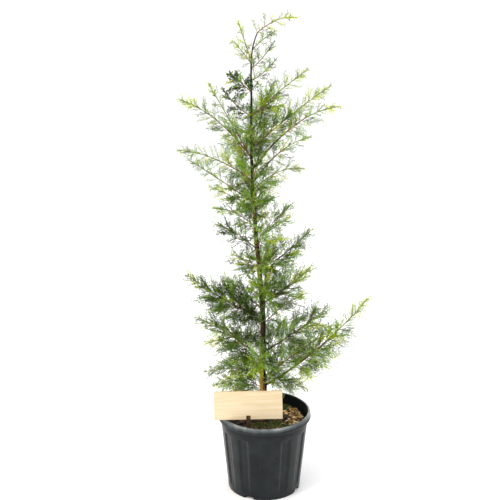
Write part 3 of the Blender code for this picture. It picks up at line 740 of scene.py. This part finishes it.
def shiftedBy(shader, name, source, amount):
    # A pattern moved up or down by a piece's own values, 0.5 leaving it as it is
    own = addNode(shader, "ShaderNodeAttribute", attribute_name=name).outputs["Fac"]
    spread = {"To Min": -amount, "To Max": amount}
    spread = addNode(shader, "ShaderNodeMapRange", {"Value": own}, spread, clamp=False)
    total = addNode(shader, "ShaderNodeMath", operation="ADD")
    for socket, part in zip(total.inputs, (source, spread.outputs["Result"])):
        shader.id_data.links.new(part, socket)
    return total.outputs["Value"]


def barked(shader, stops, size, depth, pale=0.0):
    # Fibrous strips up the tree, moved towards pale by the piece's own values and towards dark where they are
    # low; on the trunk that is painted highlight and shade
    place = addNode(shader, "ShaderNodeTexCoord").outputs["Object"]
    fibres = woodGrain(shader, place, size, Detail=5.0, Roughness=0.62)
    shade = shiftedBy(shader, "pale", fibres, pale) if pale else fibres
    patterned(shader, shade, stops, fibres, strength=0.6, depth=depth)


# Young twig bark: smooth, red-brown to ochre where the light has turned it, in patches about 3 mm wide
twigBark, shader = newMaterial("young_twig_bark", "#6b4a2a", Roughness=0.6)
twigStops = ((0.3, "#46301a"), (0.52, "#7e5a2c"), (0.75, "#b58e4a"))
barked(shader, twigStops, size=(3.3333, 3.3333, 11.111), depth=0.2)
# Green twig: this year's growth, still green under its scales
greenTwig, _ = newMaterial("green_twig", "#6f8a2c", Roughness=0.6)
twigMaterials = [twigBark, greenTwig]

stemParts, stemTints = [], []
for _, (line, radii) in fine:
    end = lengthsAlong(line)[-1] - twigShape["stemEnd"] * mm
    path = resampled(line, limbShape["fineStep"] * mm, 0.0, end)
    thick = np.interp(lengthsAlong(path), lengthsAlong(line), radii)
    span = path[-1:] - path[:1]
    reference = np.cross(unit(span), unit(anyAcross(span)))
    stemParts.append(tubes(path[None], thick[None], reference, twigShape["stemSides"]))
    stemTints.append(outerPart(1, len(path), twigShape["stemSides"], twigShape["stemWood"]))
stemTint = np.concatenate([np.concatenate(kind) for kind in zip(*stemTints)])
onBody(addPiece("stems", *joined(stemParts), twigMaterials, stemTint, smooth=True), "bark", *plumeNodes)

rings, sides = twigShape["shootRings"], twigShape["shootSides"]
shares = np.tile(np.linspace(0, 1, rings)[:, None], len(shoots.length))
paths = np.stack([placeOn(shoots, slice(None), u)[0] for u in shares], 1)
thick = np.tile(np.linspace(*twigShape["shootRadius"], rings) * mm, (len(paths), 1))
wood = tubes(paths, thick, shoots.across[:, None], sides)
woodTint = np.concatenate(outerPart(len(paths), rings, sides, twigShape["shootWood"]))
onBody(addPiece("twigs", *wood, twigMaterials, woodTint, smooth=True), "bark")

spokes = np.radians(twigShape["twigletTurns"])[:, None]
spokes = spun(np.cross(twiglets.along, twiglets.across)[:, None], twiglets.across[:, None], spokes)
feet = twiglets.root[:, None] + spokes * twigShape["twigletRadius"] * mm
tips = placeOn(twiglets, slice(None), np.ones(len(feet)))[0]
spikes = repeated(np.concatenate([feet, tips[:, None]], 1), spike)
onBody(addPiece("green_twigs", *spikes, [greenTwig]), "foliage")

# The trunk and the bare boughs, with the bark's relief

print("bark")
bark = dict(
    waves=(3, 5, 7, 9, 11), wander=0.9, wanderLength=(25, 60), swell=0.4, swellLength=(8, 20), phase=6,
    fade=0.4, flake=0.35, flakeShare=0.5, evened=2.2, boughStep=2.5, boughSides=14, boughRidges=0.06,
    boughPale=0.4,
)


def slowWave(distances, lengths, chance):
    # The sine of distance over a drawn length, from a drawn phase
    return np.sin(distances / (chance.uniform(*lengths) * mm) + chance.uniform(0, bark["phase"]))


def barkRelief(distances, sides, chance, ridges):
    # Ridges that run up the limb and wander: a sum of waves round it whose phase turns with height,
    # and flakes that each reach over three rings
    around = evenTurns(sides)[None]
    relief = np.zeros((len(distances), sides))
    for waves in bark["waves"]:
        wander = bark["wander"] * slowWave(distances, bark["wanderLength"], chance)[:, None]
        swell = 1 - bark["swell"] + bark["swell"] * slowWave(distances, bark["swellLength"], chance)
        ridge = np.sin(waves * around + wander * 2 + chance.uniform(0, bark["phase"]))
        relief += swell[:, None] * ridge / waves ** bark["fade"]
    flakes = chance.normal(0, bark["flake"], relief.shape)
    flakes = (flakes + np.roll(flakes, 1, 0) + np.roll(flakes, 2, 0)) / 2
    return (relief / bark["evened"] + flakes * bark["flakeShare"]) * ridges


def knots(line, sides):
    # A knot under each limb: a bell over the distance up the trunk times one round it
    raised = np.zeros((len(line), sides))
    for limb, (bough, stem) in zip(limbs, coarse):
        start, following = (bough or stem)[0][:2]
        facing = np.arctan2(following[1] - start[1], start[0] - following[0])
        rise = np.exp(-((line[:, 2] - limb.height * mm) / (trunk["knotSize"] * mm)) ** 2)
        turned = (evenTurns(sides) - facing + np.pi) % fullTurn - np.pi
        raised += trunk["knots"] * rise[:, None] * np.exp(-(turned / trunk["knotTurn"]) ** 2)[None]
    return raised


# Trunk bark: thin fibrous strips about 2.4 mm wide, grey-brown with ochre where it flakes; dull
trunkBark, shader = newMaterial("fibrous_bark", "#5b4030", Roughness=0.85)
barkStops = ((0.25, "#0f0a07"), (0.45, "#352518"), (0.62, "#7a5a32"), (0.8, "#bd9650"))
# The trunk's own values paint a highlight on the side facing the key light and shade on the far side
barked(shader, barkStops, size=(2.381, 2.381, 22.222), depth=0.6, pale=trunk["paleShare"])
barkChance = np.random.default_rng(trunk["seed"])
line = smoothLine(trunkPoints, trunk["step"] * mm)
thick = np.interp(line[:, 2], trunkHeights, trunkRadii)
relief = barkRelief(lengthsAlong(line), trunk["sides"], barkChance, trunk["ridges"])
relief = (relief + knots(line, trunk["sides"]))[None]
trunkTube = tubes(line[None], thick[None], np.array((0.0, 1.0, 0.0)), trunk["sides"], relief)
trunkPiece = addPiece("trunk_bark", *trunkTube, [trunkBark], smooth=True)
# Painted highlight and shade: pale by height times how far a point faces the key light's side, dark on the
# far side
outward = unit(trunkTube[0].reshape(len(line), -1, 3) - line[:, None])[..., :2] @ np.array(trunk["litSide"])
paleHeight, paleMost = np.array(trunk["pale"]).T
most = np.interp(line[:, 2] / mm, paleHeight, paleMost)[:, None]
setValues(trunkPiece, "pale", (most * (0.5 + 0.5 * outward)).ravel())
onBody(trunkPiece, "bark", "trunk")
boughParts = []
for bough, _ in fine:
    if bough:
        path = resampled(bough[0], bark["boughStep"] * mm)
        thick = np.interp(lengthsAlong(path), lengthsAlong(bough[0]), bough[1])
        relief = barkRelief(lengthsAlong(path), bark["boughSides"], barkChance, bark["boughRidges"])
        reference = unit(anyAcross(path[-1:] - path[:1]))
        boughParts.append(tubes(path[None], thick[None], reference, bark["boughSides"], relief[None]))
boughs = addPiece("bough_bark", *joined(boughParts), [trunkBark], smooth=True)
setValues(boughs, "pale", np.full(len(boughs.data.vertices), bark["boughPale"]))
onBody(boughs, "bark", *boughNodes)

# The pot: a surface of the angle round Z and the place on its profile

print("pot")
potShape = dict(
    heights=(4, 8, 13, 16, 20, 25, 30, 45, 60, 80, 100, 120, 140, 152, 160, 163, 164, 165, 166, 168, 175),
    flutes=12, mouth=8.8, floor=4.0, depth=3.6, bottom=(13.0, 30.0), top=(161.0, 166.0),
    half=(0, 2, 4, 4.6, 5.5, 6.4, 7.3, 8.2, 8.8), plain=(10, 12, 15, 18, 20),  # degrees across a flute
    skirt=16.0, draft=1.6, lean=1.8, hem=2.0, innerHem=1.1, hemStart=1.0, lip=4.0, innerLip=2.4,
    cove=2.2, coveDrop=6.0, hollow=1.2, foot=1.6, centre=0.001, disc=40.0, wallFrom=(60.0, 2.0),
    floorEdge=(3.0, 1.0, 0.2), sharp=32.0,
    face=((0.28, 0.0), (0.34, 0.5), (0.40, 0.0), (0.66, 0.0), (0.72, 0.5), (0.78, 0.0), (1.0, 0.0)),
    notches=4, notchWidth=23.0, notchHeight=9.0, notchTurn=-115.0, notchDepth=15.0, notchTop=0.72,
    # the lip's painted highlight: how far it lifts the colour, its least and its rise up the lip, and where
    # on the lip it falls
    notchShoulder=0.6, lipHighlightShare=0.35, lipHighlight=(0.2, 0.85), lipSide=0.6, lipTop=1.2,
)


def smoothStep(x):
    # 3 x^2 - 2 x^3 from 0 to 1
    x = np.clip(x, 0, 1)
    return x * x * (3 - 2 * x)


def arc(centre, radius, start, end, count):
    # Points on an arc in the profile's plane, by its angles in degrees
    a = np.radians(np.linspace(start, end, count))
    return [(centre[0] + radius * np.cos(t), centre[1] + radius * np.sin(t)) for t in a]


def roundAxis(radius, turn, height):
    # Points at a radius from Z, an angle round it and a height
    return np.stack([radius * np.cos(turn), radius * np.sin(turn), height + 0 * (radius * turn)], -1)


def wallAt(z):
    # The outer wall's radius by height, evenly from the foot to the brim
    return pot["foot"] + (pot["brim"] - pot["foot"]) * z / pot["height"]


def potProfile():
    # (radius, height) from the middle of the underside, up the outside and down the inside to the floor
    s = potShape
    top, rim, wall, hem, innerHem = pot["height"], pot["rim"], pot["wall"], s["hem"], s["innerHem"]
    foot = pot["foot"] - s["foot"]
    base = [(s["centre"], 0.0), (s["disc"], 0.0), (foot, 0.0), *arc((foot, s["foot"]), s["foot"], -60, 0, 4)]
    outer = [(wallAt(z), z) for z in s["heights"]]
    low = top - s["skirt"]
    cove = low - s["coveDrop"]
    skirtIn = rim - s["draft"] - wall
    under = [(wallAt(cove) - s["cove"], cove), (wallAt(low), low), (wallAt(top - wall), top - wall)]
    skirt = [
        (skirtIn + s["hollow"], top - wall), (skirtIn, low + s["hemStart"]),
        *arc((skirtIn + innerHem, low + innerHem), innerHem, 180, 270, 4),
        *arc((rim - hem, low + hem), hem, -90, 0, 5),
    ]
    band = [(rim - s["lean"] * t - dip, low + hem + t * (top - s["lip"] - low - hem)) for t, dip in s["face"]]
    edge = arc((rim - s["lean"] - s["lip"], top - s["lip"]), s["lip"], 0, 90, 7)
    lip = arc((pot["brim"] - wall + s["innerLip"], top - s["innerLip"]), s["innerLip"], 90, 180, 6)
    inside = [(wallAt(z) - wall, z) for z in reversed(s["heights"])]
    z, inset, rise = s["floorEdge"]
    floor = [(wallAt(z) - wall - inset, wall + rise), (s["disc"], wall), (s["centre"], wall)]
    return np.array(base + outer + under + skirt + band + edge + lip + inside + floor)


def potMesh():
    # radius = profile radius - flute depth x (how far inside a flute's edges) x (how far below its top)
    s = potShape
    radius, height = potProfile().T
    across = np.array([-a for a in reversed(s["half"][1:])] + [*s["half"], *s["plain"]])
    turn = (np.arange(s["flutes"])[:, None] * 360 / s["flutes"] + across - 90).ravel()
    inFlute = smoothStep((s["mouth"] - np.abs(np.tile(across, s["flutes"]))) / (s["mouth"] - s["floor"]))
    rise = smoothStep((height - s["bottom"][0]) / (s["bottom"][1] - s["bottom"][0]))
    fall = smoothStep((s["top"][1] - height) / (s["top"][1] - s["top"][0]))
    onWall = (radius > s["wallFrom"][0]) & (height > s["wallFrom"][1])
    depth = s["depth"] * np.where(onWall, rise * fall, 0)
    fluted = radius[:, None] - depth[:, None] * inFlute[None]
    return capped(roundAxis(fluted, np.radians(turn)[None], height[:, None])[None] * mm)


def applied(piece):
    # The piece with its modifiers' result as its own mesh
    bpy.context.view_layer.update()
    mesh = bpy.data.meshes.new_from_object(piece.evaluated_get(bpy.context.evaluated_depsgraph_get()))
    piece.modifiers.clear()
    piece.data = mesh
    return piece


def slab(name, outline, half, materials):
    # A flat outline in two ways, with a half thickness to either side on the third
    rings = np.stack([np.insert(np.array(outline), 2, level, 1) for level in (-half, half)])
    return addPiece(name, *capped(rings[None]), materials)


# Recycled polypropylene, injection moulded: near black, half gloss, with faint scuffs and dust.
# The mould's fine grain is drawn coarser than life, so that it shows
plastic, shader = newMaterial(
    "moulded_polypropylene", "#121718", Roughness=0.36, IOR=1.49, Specular_IOR_Level=0.24,
)
place = addNode(shader, "ShaderNodeTexCoord").outputs["Object"]
dust, grain, scuffs = (
    addNode(shader, "ShaderNodeTexNoise", {"Vector": place}, {"Scale": scaleOf(size), "Detail": detail})
    for size, detail in ((35.714, 4.0), (1.1111, 2.0), (14.286, 6.0))
)
# The lip's own values lift the dust pattern to pale grey: a painted highlight
patterned(
    shader, shiftedBy(shader, "lipHighlight", dust.outputs["Fac"], potShape["lipHighlightShare"]),
    ((0.0, "#0c1012"), (0.2, "#131a1c"), (0.45, "#1c2426"), (0.8, "#5a6163"), (1.0, "#979c9d")),
    grain.outputs["Fac"], strength=0.12, depth=0.3,
)
gloss = {"From Min": 0.3, "From Max": 0.7, "To Min": 0.27, "To Max": 0.42}
gloss = addNode(shader, "ShaderNodeMapRange", {"Value": scuffs.outputs["Fac"]}, gloss)
setInput(shader, "Roughness", gloss.outputs["Result"])

potPiece = addPiece("nursery_pot", *potMesh(), [plastic], smooth=True)
wide, high = potShape["notchWidth"] * mm / 2, potShape["notchHeight"] * mm
narrow, shoulder = wide * potShape["notchTop"], high * potShape["notchShoulder"]
notch = [(-wide, -high), (wide, -high), (wide, shoulder), (narrow, high), (-narrow, high), (-wide, shoulder)]
cutters = []
for number in range(potShape["notches"]):
    turn = np.radians(potShape["notchTurn"] + number * 360 / potShape["notches"])
    cutter = slab("notch_%d" % number, notch, potShape["notchDepth"] * mm, [])
    out = np.array((np.cos(turn), np.sin(turn), 0))
    setPoints(cutter, pointsOf(cutter) @ np.stack([np.cross(up, out), up, out]) + out * pot["foot"] * mm)
    cut = potPiece.modifiers.new(cutter.name, "BOOLEAN")
    cut.operation, cut.object, cut.solver = "DIFFERENCE", cutter, "EXACT"
    cutters.append(cutter)
applied(potPiece)
for cutter in cutters:
    bpy.data.objects.remove(cutter)
potPiece.data.set_sharp_from_angle(angle=np.radians(potShape["sharp"]))
# Painted highlight: the lip's outside and top lifted to pale grey, most towards its top edge where it catches
# the studio light, and not on the wall
x, y, z = pointsOf(potPiece).T / mm
lipFoot = pot["height"] - potShape["skirt"]
onLip = (np.hypot(x, y) > pot["brim"] + potShape["lipSide"]) & (z > lipFoot)
onLip |= z > pot["height"] - potShape["lipTop"]
least, more = potShape["lipHighlight"]
lipHighlight = least + more * smoothStep((z - lipFoot) / potShape["skirt"])
setValues(potPiece, "lipHighlight", np.where(onLip, lipHighlight, 0.0))
onBody(potPiece, "pot", "pot")

# The soil: lumpy compost with bark chips, crumbs and a little moss

print("soil")
soil = dict(
    top=176.0, inset=1.3, wall=((3.0, 4.5), (166.0, 4.5), (169.0, 1.3), (174.0, 1.3)), rings=46, columns=150,
    relief=3.2, lump=20.0, waves=14, waveSize=(0.6, 2.4), wavePhase=6.3, waveShare=0.25, level=(16.0, 20.0),
    rough=0.35, waveSeed=21, roughSeed=3, scatterSeed=8, edgeClear=7.0, trunkClear=14.0,
)
chips = dict(
    amount=170, sizes=((6, 15), (4, 8), (1.6, 3.5)), flat=0.8, sink=0.5,
    pile=(150, (76, 26), (15, 36)),  # how many, their middle and their spread
)
crumbs = dict(amount=2600, sizes=(1.2, 3.6), flat=0.0, sink=0.35, tints=(0, 0, 0, 1, 1, 1, 2))
moss = dict(
    amount=4200, sunk=0.5, lean=0.45, tall=(2.5, 7.5), wide=(0.6, 1.3),
    foot=((1, 0), (-0.5, 0.87), (-0.5, -0.87)),
    patches=(  # the middle of each and its spread, both in x and y
        (16, -40, 22, 7), (36, -26, 12, 8), (-12, -34, 9, 5), (66, -40, 9, 9), (54, 72, 8, 16),
        (-66, -50, 14, 8), (-40, 70, 20, 12),
    ),
)
waves = np.random.default_rng(soil["waveSeed"])
waveWay = waves.normal(0, 1, (soil["waves"], 2))
wavePhase = waves.uniform(0, soil["wavePhase"], soil["waves"])
waveSize = waves.uniform(*soil["waveSize"], soil["waves"])


def soilHeight(x, y):
    # The sum of waves of several lengths, fading to level round the trunk's foot
    total = 0
    for way, phase, size in zip(waveWay, wavePhase, waveSize):
        total = total + np.sin((x * way[0] + y * way[1]) * size / (soil["lump"] * mm) + phase) / size
    fade = smoothStep((np.hypot(x, y) / mm - soil["level"][0]) / soil["level"][1])
    return (soil["top"] + soil["relief"] * total * soil["waveShare"] * fade) * mm


def soilMesh():
    # Height by place on the top; below it a plain wall down to a flat floor
    turn = evenTurns(soil["columns"])
    reach = (wallAt(soil["top"]) - pot["wall"] - soil["inset"]) * mm
    share = np.linspace(1, 0, soil["rings"])[:-1, None]
    upper = roundAxis(share * reach, turn[None], 0.0)
    upper[..., 2] = soilHeight(upper[..., 0], upper[..., 1])
    rough = np.random.default_rng(soil["roughSeed"]).normal(0, soil["rough"] * mm, upper.shape[:2])
    upper[1:, :, 2] += rough[1:]
    lower = [roundAxis((wallAt(z) - pot["wall"] - gap) * mm, turn, z * mm) for z, gap in soil["wall"]]
    return capped(np.concatenate([np.array(lower), upper])[None])


# Peat and composted bark: near black-brown, crumbs of about 4 mm, quite dull
compost, shader = newMaterial("compost", "#33241a", Roughness=0.95)
place = addNode(shader, "ShaderNodeTexCoord").outputs["Object"]
crumb = {"Scale": scaleOf(3.8462), "Detail": 6.0, "Roughness": 0.7}
crumb = addNode(shader, "ShaderNodeTexNoise", {"Vector": place}, crumb).outputs["Fac"]
crumbStops = ((0.35, "#0e0906"), (0.5, "#20150d"), (0.66, "#3d2a1a"))
patterned(shader, crumb, crumbStops, crumb, strength=0.9, depth=2.0)
onBody(addPiece("compost", *soilMesh(), [compost], smooth=True), "soil", "soil")


def turns(count, chance):
    # Random turns from unit quaternions (w, x, y, z), as matrices
    w, x, y, z = unit(chance.normal(0, 1, (count, 4))).T
    rows = [
        (1 - 2 * (y * y + z * z), 2 * (x * y - z * w), 2 * (x * z + y * w)),
        (2 * (x * y + z * w), 1 - 2 * (x * x + z * z), 2 * (y * z - x * w)),
        (2 * (x * z - y * w), 2 * (y * z + x * w), 1 - 2 * (x * x + y * y)),
    ]
    return np.array(rows).transpose(2, 0, 1)


def scattered(count, chance, centre=(0, 0), spread=None):
    # Places on the soil: evenly over it, or round a centre; clear of the wall and the trunk
    reach = (wallAt(soil["top"]) - pot["wall"] - soil["edgeClear"]) * mm
    if spread is None:
        radius = reach * np.sqrt(chance.random(count))
        turn = chance.uniform(0, fullTurn, count)
        x, y = radius * np.cos(turn), radius * np.sin(turn)
    else:
        x, y = (np.array(centre)[:, None] + chance.normal(0, 1, (2, count)) * np.array(spread)[:, None]) * mm
    kept = (np.hypot(x, y) < reach) & (np.hypot(x, y) > soil["trunkClear"] * mm)
    return x[kept], y[kept]


box = ((0, 2, 3, 1), (4, 5, 7, 6), (0, 1, 5, 4), (2, 6, 7, 3), (0, 4, 6, 2), (1, 3, 7, 5))


def lumps(x, y, sizes, flat, sink, chance):
    # Uneven boxes: a cube's corners, each moved a little, scaled, turned and laid on the soil. Flat is
    # the share of a turn that lies level; sink x the smallest side is the middle's height above the soil.
    cube = np.array([(a, b, c) for c in (-1, 1) for b in (-1, 1) for a in (-1, 1)]) / 2
    corners = cube[None] * (1 + chance.uniform(-0.35, 0.2, (len(x), 8, 3))) * sizes[:, None]
    spin = turns(len(x), chance)
    angle = chance.uniform(0, fullTurn, len(x))
    level = np.zeros((len(x), 3, 3))
    level[:, 0, 0] = level[:, 1, 1] = np.cos(angle)
    level[:, 0, 1], level[:, 1, 0], level[:, 2, 2] = -np.sin(angle), np.sin(angle), 1
    spin = unit(level * flat + spin * (1 - flat))
    corners = np.einsum("nij,nkj->nki", spin, corners)
    place = np.stack([x, y, soilHeight(x, y) + sizes.min(1) * sink], -1)
    return repeated(corners + place[:, None], box)


def plainMaterials(name, colours, roughness):
    # One plain material for each colour, numbered from 1
    return [newMaterial(name % (n + 1), colour, Roughness=roughness)[0] for n, colour in enumerate(colours)]


# Bark chips: split pine bark, dark and weathered all over, and a pile with fresh tan faces beside it
chipColours = ("#20140c", "#5a3c20", "#9a7138", "#cda768", "#ecd09c")
chipMaterials = plainMaterials("pine_bark_chip_%d", chipColours, 0.85)
chance = np.random.default_rng(soil["scatterSeed"])
even, pile = scattered(chips["amount"], chance), scattered(chips["pile"][0], chance, *chips["pile"][1:])
x, y = np.append(even, pile, axis=1)
sizes = np.stack([chance.uniform(*size, len(x)) for size in chips["sizes"]], 1) * mm
blocks = lumps(x, y, sizes, chips["flat"], chips["sink"], chance)
fresh = np.arange(len(x)) >= len(even[0])
tint = chance.integers(0, 2, len(x)) + fresh * chance.integers(0, len(chipColours), len(x))
tint = np.repeat(np.minimum(tint, len(chipColours) - 1), len(box))
onBody(addPiece("bark_chips", *blocks, chipMaterials, tint), "soil")

x, y = scattered(crumbs["amount"], chance)
sizes = chance.uniform(*crumbs["sizes"], (len(x), 3)) * mm
blocks = lumps(x, y, sizes, crumbs["flat"], crumbs["sink"], chance)
tint = np.array(crumbs["tints"])[chance.integers(0, len(crumbs["tints"]), len(x))]
onBody(addPiece("compost_crumbs", *blocks, chipMaterials[:3], np.repeat(tint, len(box))), "soil")

# Moss: cushions of upright blades, deep green with yellow tips
mossMaterials = plainMaterials("moss_%d", ("#2f4722", "#4d6b2c", "#86963a"), 0.9)
share = moss["amount"] // len(moss["patches"])
spots = [scattered(share, chance, patch[:2], patch[2:]) for patch in moss["patches"]]
x, y = np.concatenate(spots, axis=1)
ground = np.stack([x, y, soilHeight(x, y) - moss["sunk"] * mm], -1)
lean = unit(chance.normal(0, moss["lean"], (len(x), 3)) + up)
side = unit(np.cross(lean, chance.normal(0, 1, (len(x), 3))))
tall = chance.uniform(*moss["tall"], len(x))[:, None] * mm
wide = chance.uniform(*moss["wide"], len(x))[:, None, None] * mm
foot = np.array(moss["foot"])[None]
foot = side[:, None] * foot[..., :1] + np.cross(lean, side)[:, None] * foot[..., 1:]
blades = np.concatenate([(ground + lean * tall)[:, None], ground[:, None] + foot * wide], 1)
tetra = ((0, 1, 2), (0, 2, 3), (0, 3, 1), (1, 3, 2))
tint = np.repeat(chance.integers(0, len(mossMaterials), len(x)), len(tetra))
onBody(addPiece("moss", *repeated(blades, tetra), mossMaterials, tint), "soil")

# The label: a bare plywood board, slotted on to its stake

print("label")


def onBoard(piece):
    # From the board's own two ways and thickness to its place
    setPoints(piece, pointsOf(piece)[:, (0, 2, 1)] * (1, -1, 1) @ boardTurn.T + boardFoot)


def boardPattern(shader):
    # Object coordinates turned and moved to the board's own
    place = {"Vector": addNode(shader, "ShaderNodeTexCoord").outputs["Object"]}
    turned = {"Location": boardFoot.tolist(), "Rotation": (boardLean, boardRoll, 0)}
    return addNode(shader, "ShaderNodeMapping", place, turned, vector_type="TEXTURE").outputs["Vector"]


def bevelled(piece, width, limit):
    # The piece with its edges sharper than a limit in degrees rounded off
    bevel = piece.modifiers.new("edge", "BEVEL")
    bevel.width, bevel.segments = width, 2
    bevel.limit_method, bevel.angle_limit = "ANGLE", np.radians(limit)
    return applied(piece)


# Birch plywood: pale rotary-cut veneer, sanded and bare, its soft grain drawn coarser than life to show
plywood, shader = newMaterial("birch_plywood", "#dac7a4", Roughness=0.62)
grain = woodGrain(shader, boardPattern(shader), (71.429, 5.0, 5.2632), Detail=4.0, Distortion=0.4)
veneerStops = ((0.3, "#d3bc93"), (0.5, "#dac7a4"), (0.7, "#dfd0b3"))
patterned(shader, grain, veneerStops, grain, strength=0.15, depth=0.2)
# Plywood edge: three plies, the middle one end grain and darker
plyEdge, shader = newMaterial("plywood_edge", "#cf9f63", Roughness=0.75)
across = addNode(shader, "ShaderNodeSeparateXYZ", {"Vector": boardPattern(shader)}).outputs["Y"]
half = board["thick"] / 2 * mm
plies = addNode(shader, "ShaderNodeMapRange", {"Value": across}, {"From Min": -half, "From Max": half})
outer, edge, core = "#e6c18c", "#d9ad74", "#a9743f"
plyStops = ((0.0, outer), (0.3, edge), (0.36, core), (0.64, core), (0.7, edge), (1.0, outer))
patterned(shader, plies.outputs["Result"], plyStops)

wide, tall, corner = board["width"] / 2 * mm, board["height"] * mm, board["corner"] * mm
slot, slotTop = board["slotWidth"] / 2 * mm, board["slotDepth"] * mm
corners = (
    (wide - corner, corner, -90), (wide - corner, tall - corner, 0),
    (corner - wide, tall - corner, 90), (corner - wide, corner, 180),
)
outline = [point for x, y, turn in corners for point in arc((x, y), corner, turn, turn + 90, 5)]
outline += [(-slot, 0), (-slot, slotTop), (slot, slotTop), (slot, 0)]
boardPiece = slab("plywood_board", outline, half, [plywood, plyEdge])
boardPiece.data.polygons.foreach_set("material_index", np.array([1] * len(outline) + [0, 0], np.int32))
onBoard(bevelled(boardPiece, board["edge"] * mm, limit=60))
onBody(boardPiece, "plywood", "label_board")

# Stake: a split softwood strip, dark brown, its fibres drawn coarser than life to show
stake = dict(
    width=10.0, thick=3.4, length=92.0, point=(0.25, 14.0), gap=0.3, edge=0.3,
    broken=((1.0, 1.5), (0.55, 0.0), (0.1, 1.1), (-0.3, 0.2), (-0.8, 0.9), (-1.0, 2.2)),  # the torn top
)
stakeWood, shader = newMaterial("dark_softwood", "#3a2416", Roughness=0.8)
grain = woodGrain(shader, boardPattern(shader), (2.381, 2.381, 25.0), Detail=5.0)
patterned(shader, grain, ((0.35, "#22140c"), (0.55, "#472c1b"), (0.75, "#6b4528")))
wide, top = stake["width"] / 2 * mm, slotTop - stake["gap"] * mm
low = top - stake["length"] * mm
tip, shoulder = wide * stake["point"][0], low + stake["point"][1] * mm
outline = [(-tip, low), (tip, low), (wide, shoulder)]
outline += [(wide * share, top - drop * mm) for share, drop in stake["broken"]] + [(-wide, shoulder)]
stakePiece = slab("wooden_stake", outline, stake["thick"] / 2 * mm, [stakeWood])
onBoard(bevelled(stakePiece, stake["edge"] * mm, limit=30))
onBody(stakePiece, "stake", "label_stake")

# The studio: a pale floor, soft light all round and the camera

print("studio")
studio = dict(floor=60.0, world=1.0, sun=0.4, sunSize=60.0, sunWay=(1.0, 0.75, -1.45))
lamps = dict(  # the place of each, what it faces, its size, power and colour
    key=((-1.9, -1.5, 2.3), (0, 0, 0.55), 1.3, 46.0, "#fff6e6"),
    fill=((2.0, -1.6, 1.3), (0, 0, 0.5), 1.4, 8.0, "#f2f6ff"),
    back=((0.6, 2.2, 1.6), (0, 0, 0.6), 1.8, 24.0, "#ffffff"),
)
view = dict(place=(-0.0353, -3.0, 1.6406), tilt=71.21, lens=96.3, sensor=36.0)
floorMaterial, _ = newMaterial("matt_white_paper", "#fdfdfd", Roughness=0.95)
size = studio["floor"]
corners = np.array([(-size, -size, 0), (size, -size, 0), (size, size, 0), (-size, size, 0)])
floor = addPiece("floor", corners, [np.array([(0, 1, 2, 3)])], [floorMaterial])


def facing(way):
    # The turn that makes a lamp shine that way
    return Vector(way).to_track_quat("-Z", "Y").to_euler()


for name, (place, aim, size, power, colour) in lamps.items():
    light = bpy.data.lights.new(name, "AREA")
    light.shape, light.size, light.energy = "DISK", size, power
    light.color = linear(colour)[:3]
    lamp = addObject(name, light)
    lamp.location = place
    lamp.rotation_euler = facing(Vector(aim) - Vector(place))
# A broad sun lights the whole floor alike
sunLight = bpy.data.lights.new("sun", "SUN")
sunLight.energy, sunLight.angle = studio["sun"], np.radians(studio["sunSize"])
addObject("sun", sunLight).rotation_euler = facing(studio["sunWay"])

world = bpy.data.worlds.new("studio")
world.use_nodes = True
world.node_tree.nodes["Background"].inputs["Color"].default_value = (1, 1, 1, 1)
world.node_tree.nodes["Background"].inputs["Strength"].default_value = studio["world"]
bpy.context.scene.world = world
bpy.context.scene.view_settings.view_transform = "Standard"

camera = bpy.data.cameras.new("camera")
camera.lens, camera.sensor_width = view["lens"], view["sensor"]
eye = addObject("camera", camera)
eye.location = view["place"]
eye.rotation_euler = (np.radians(view["tilt"]), 0, 0)
bpy.context.scene.camera = eye

print("done")
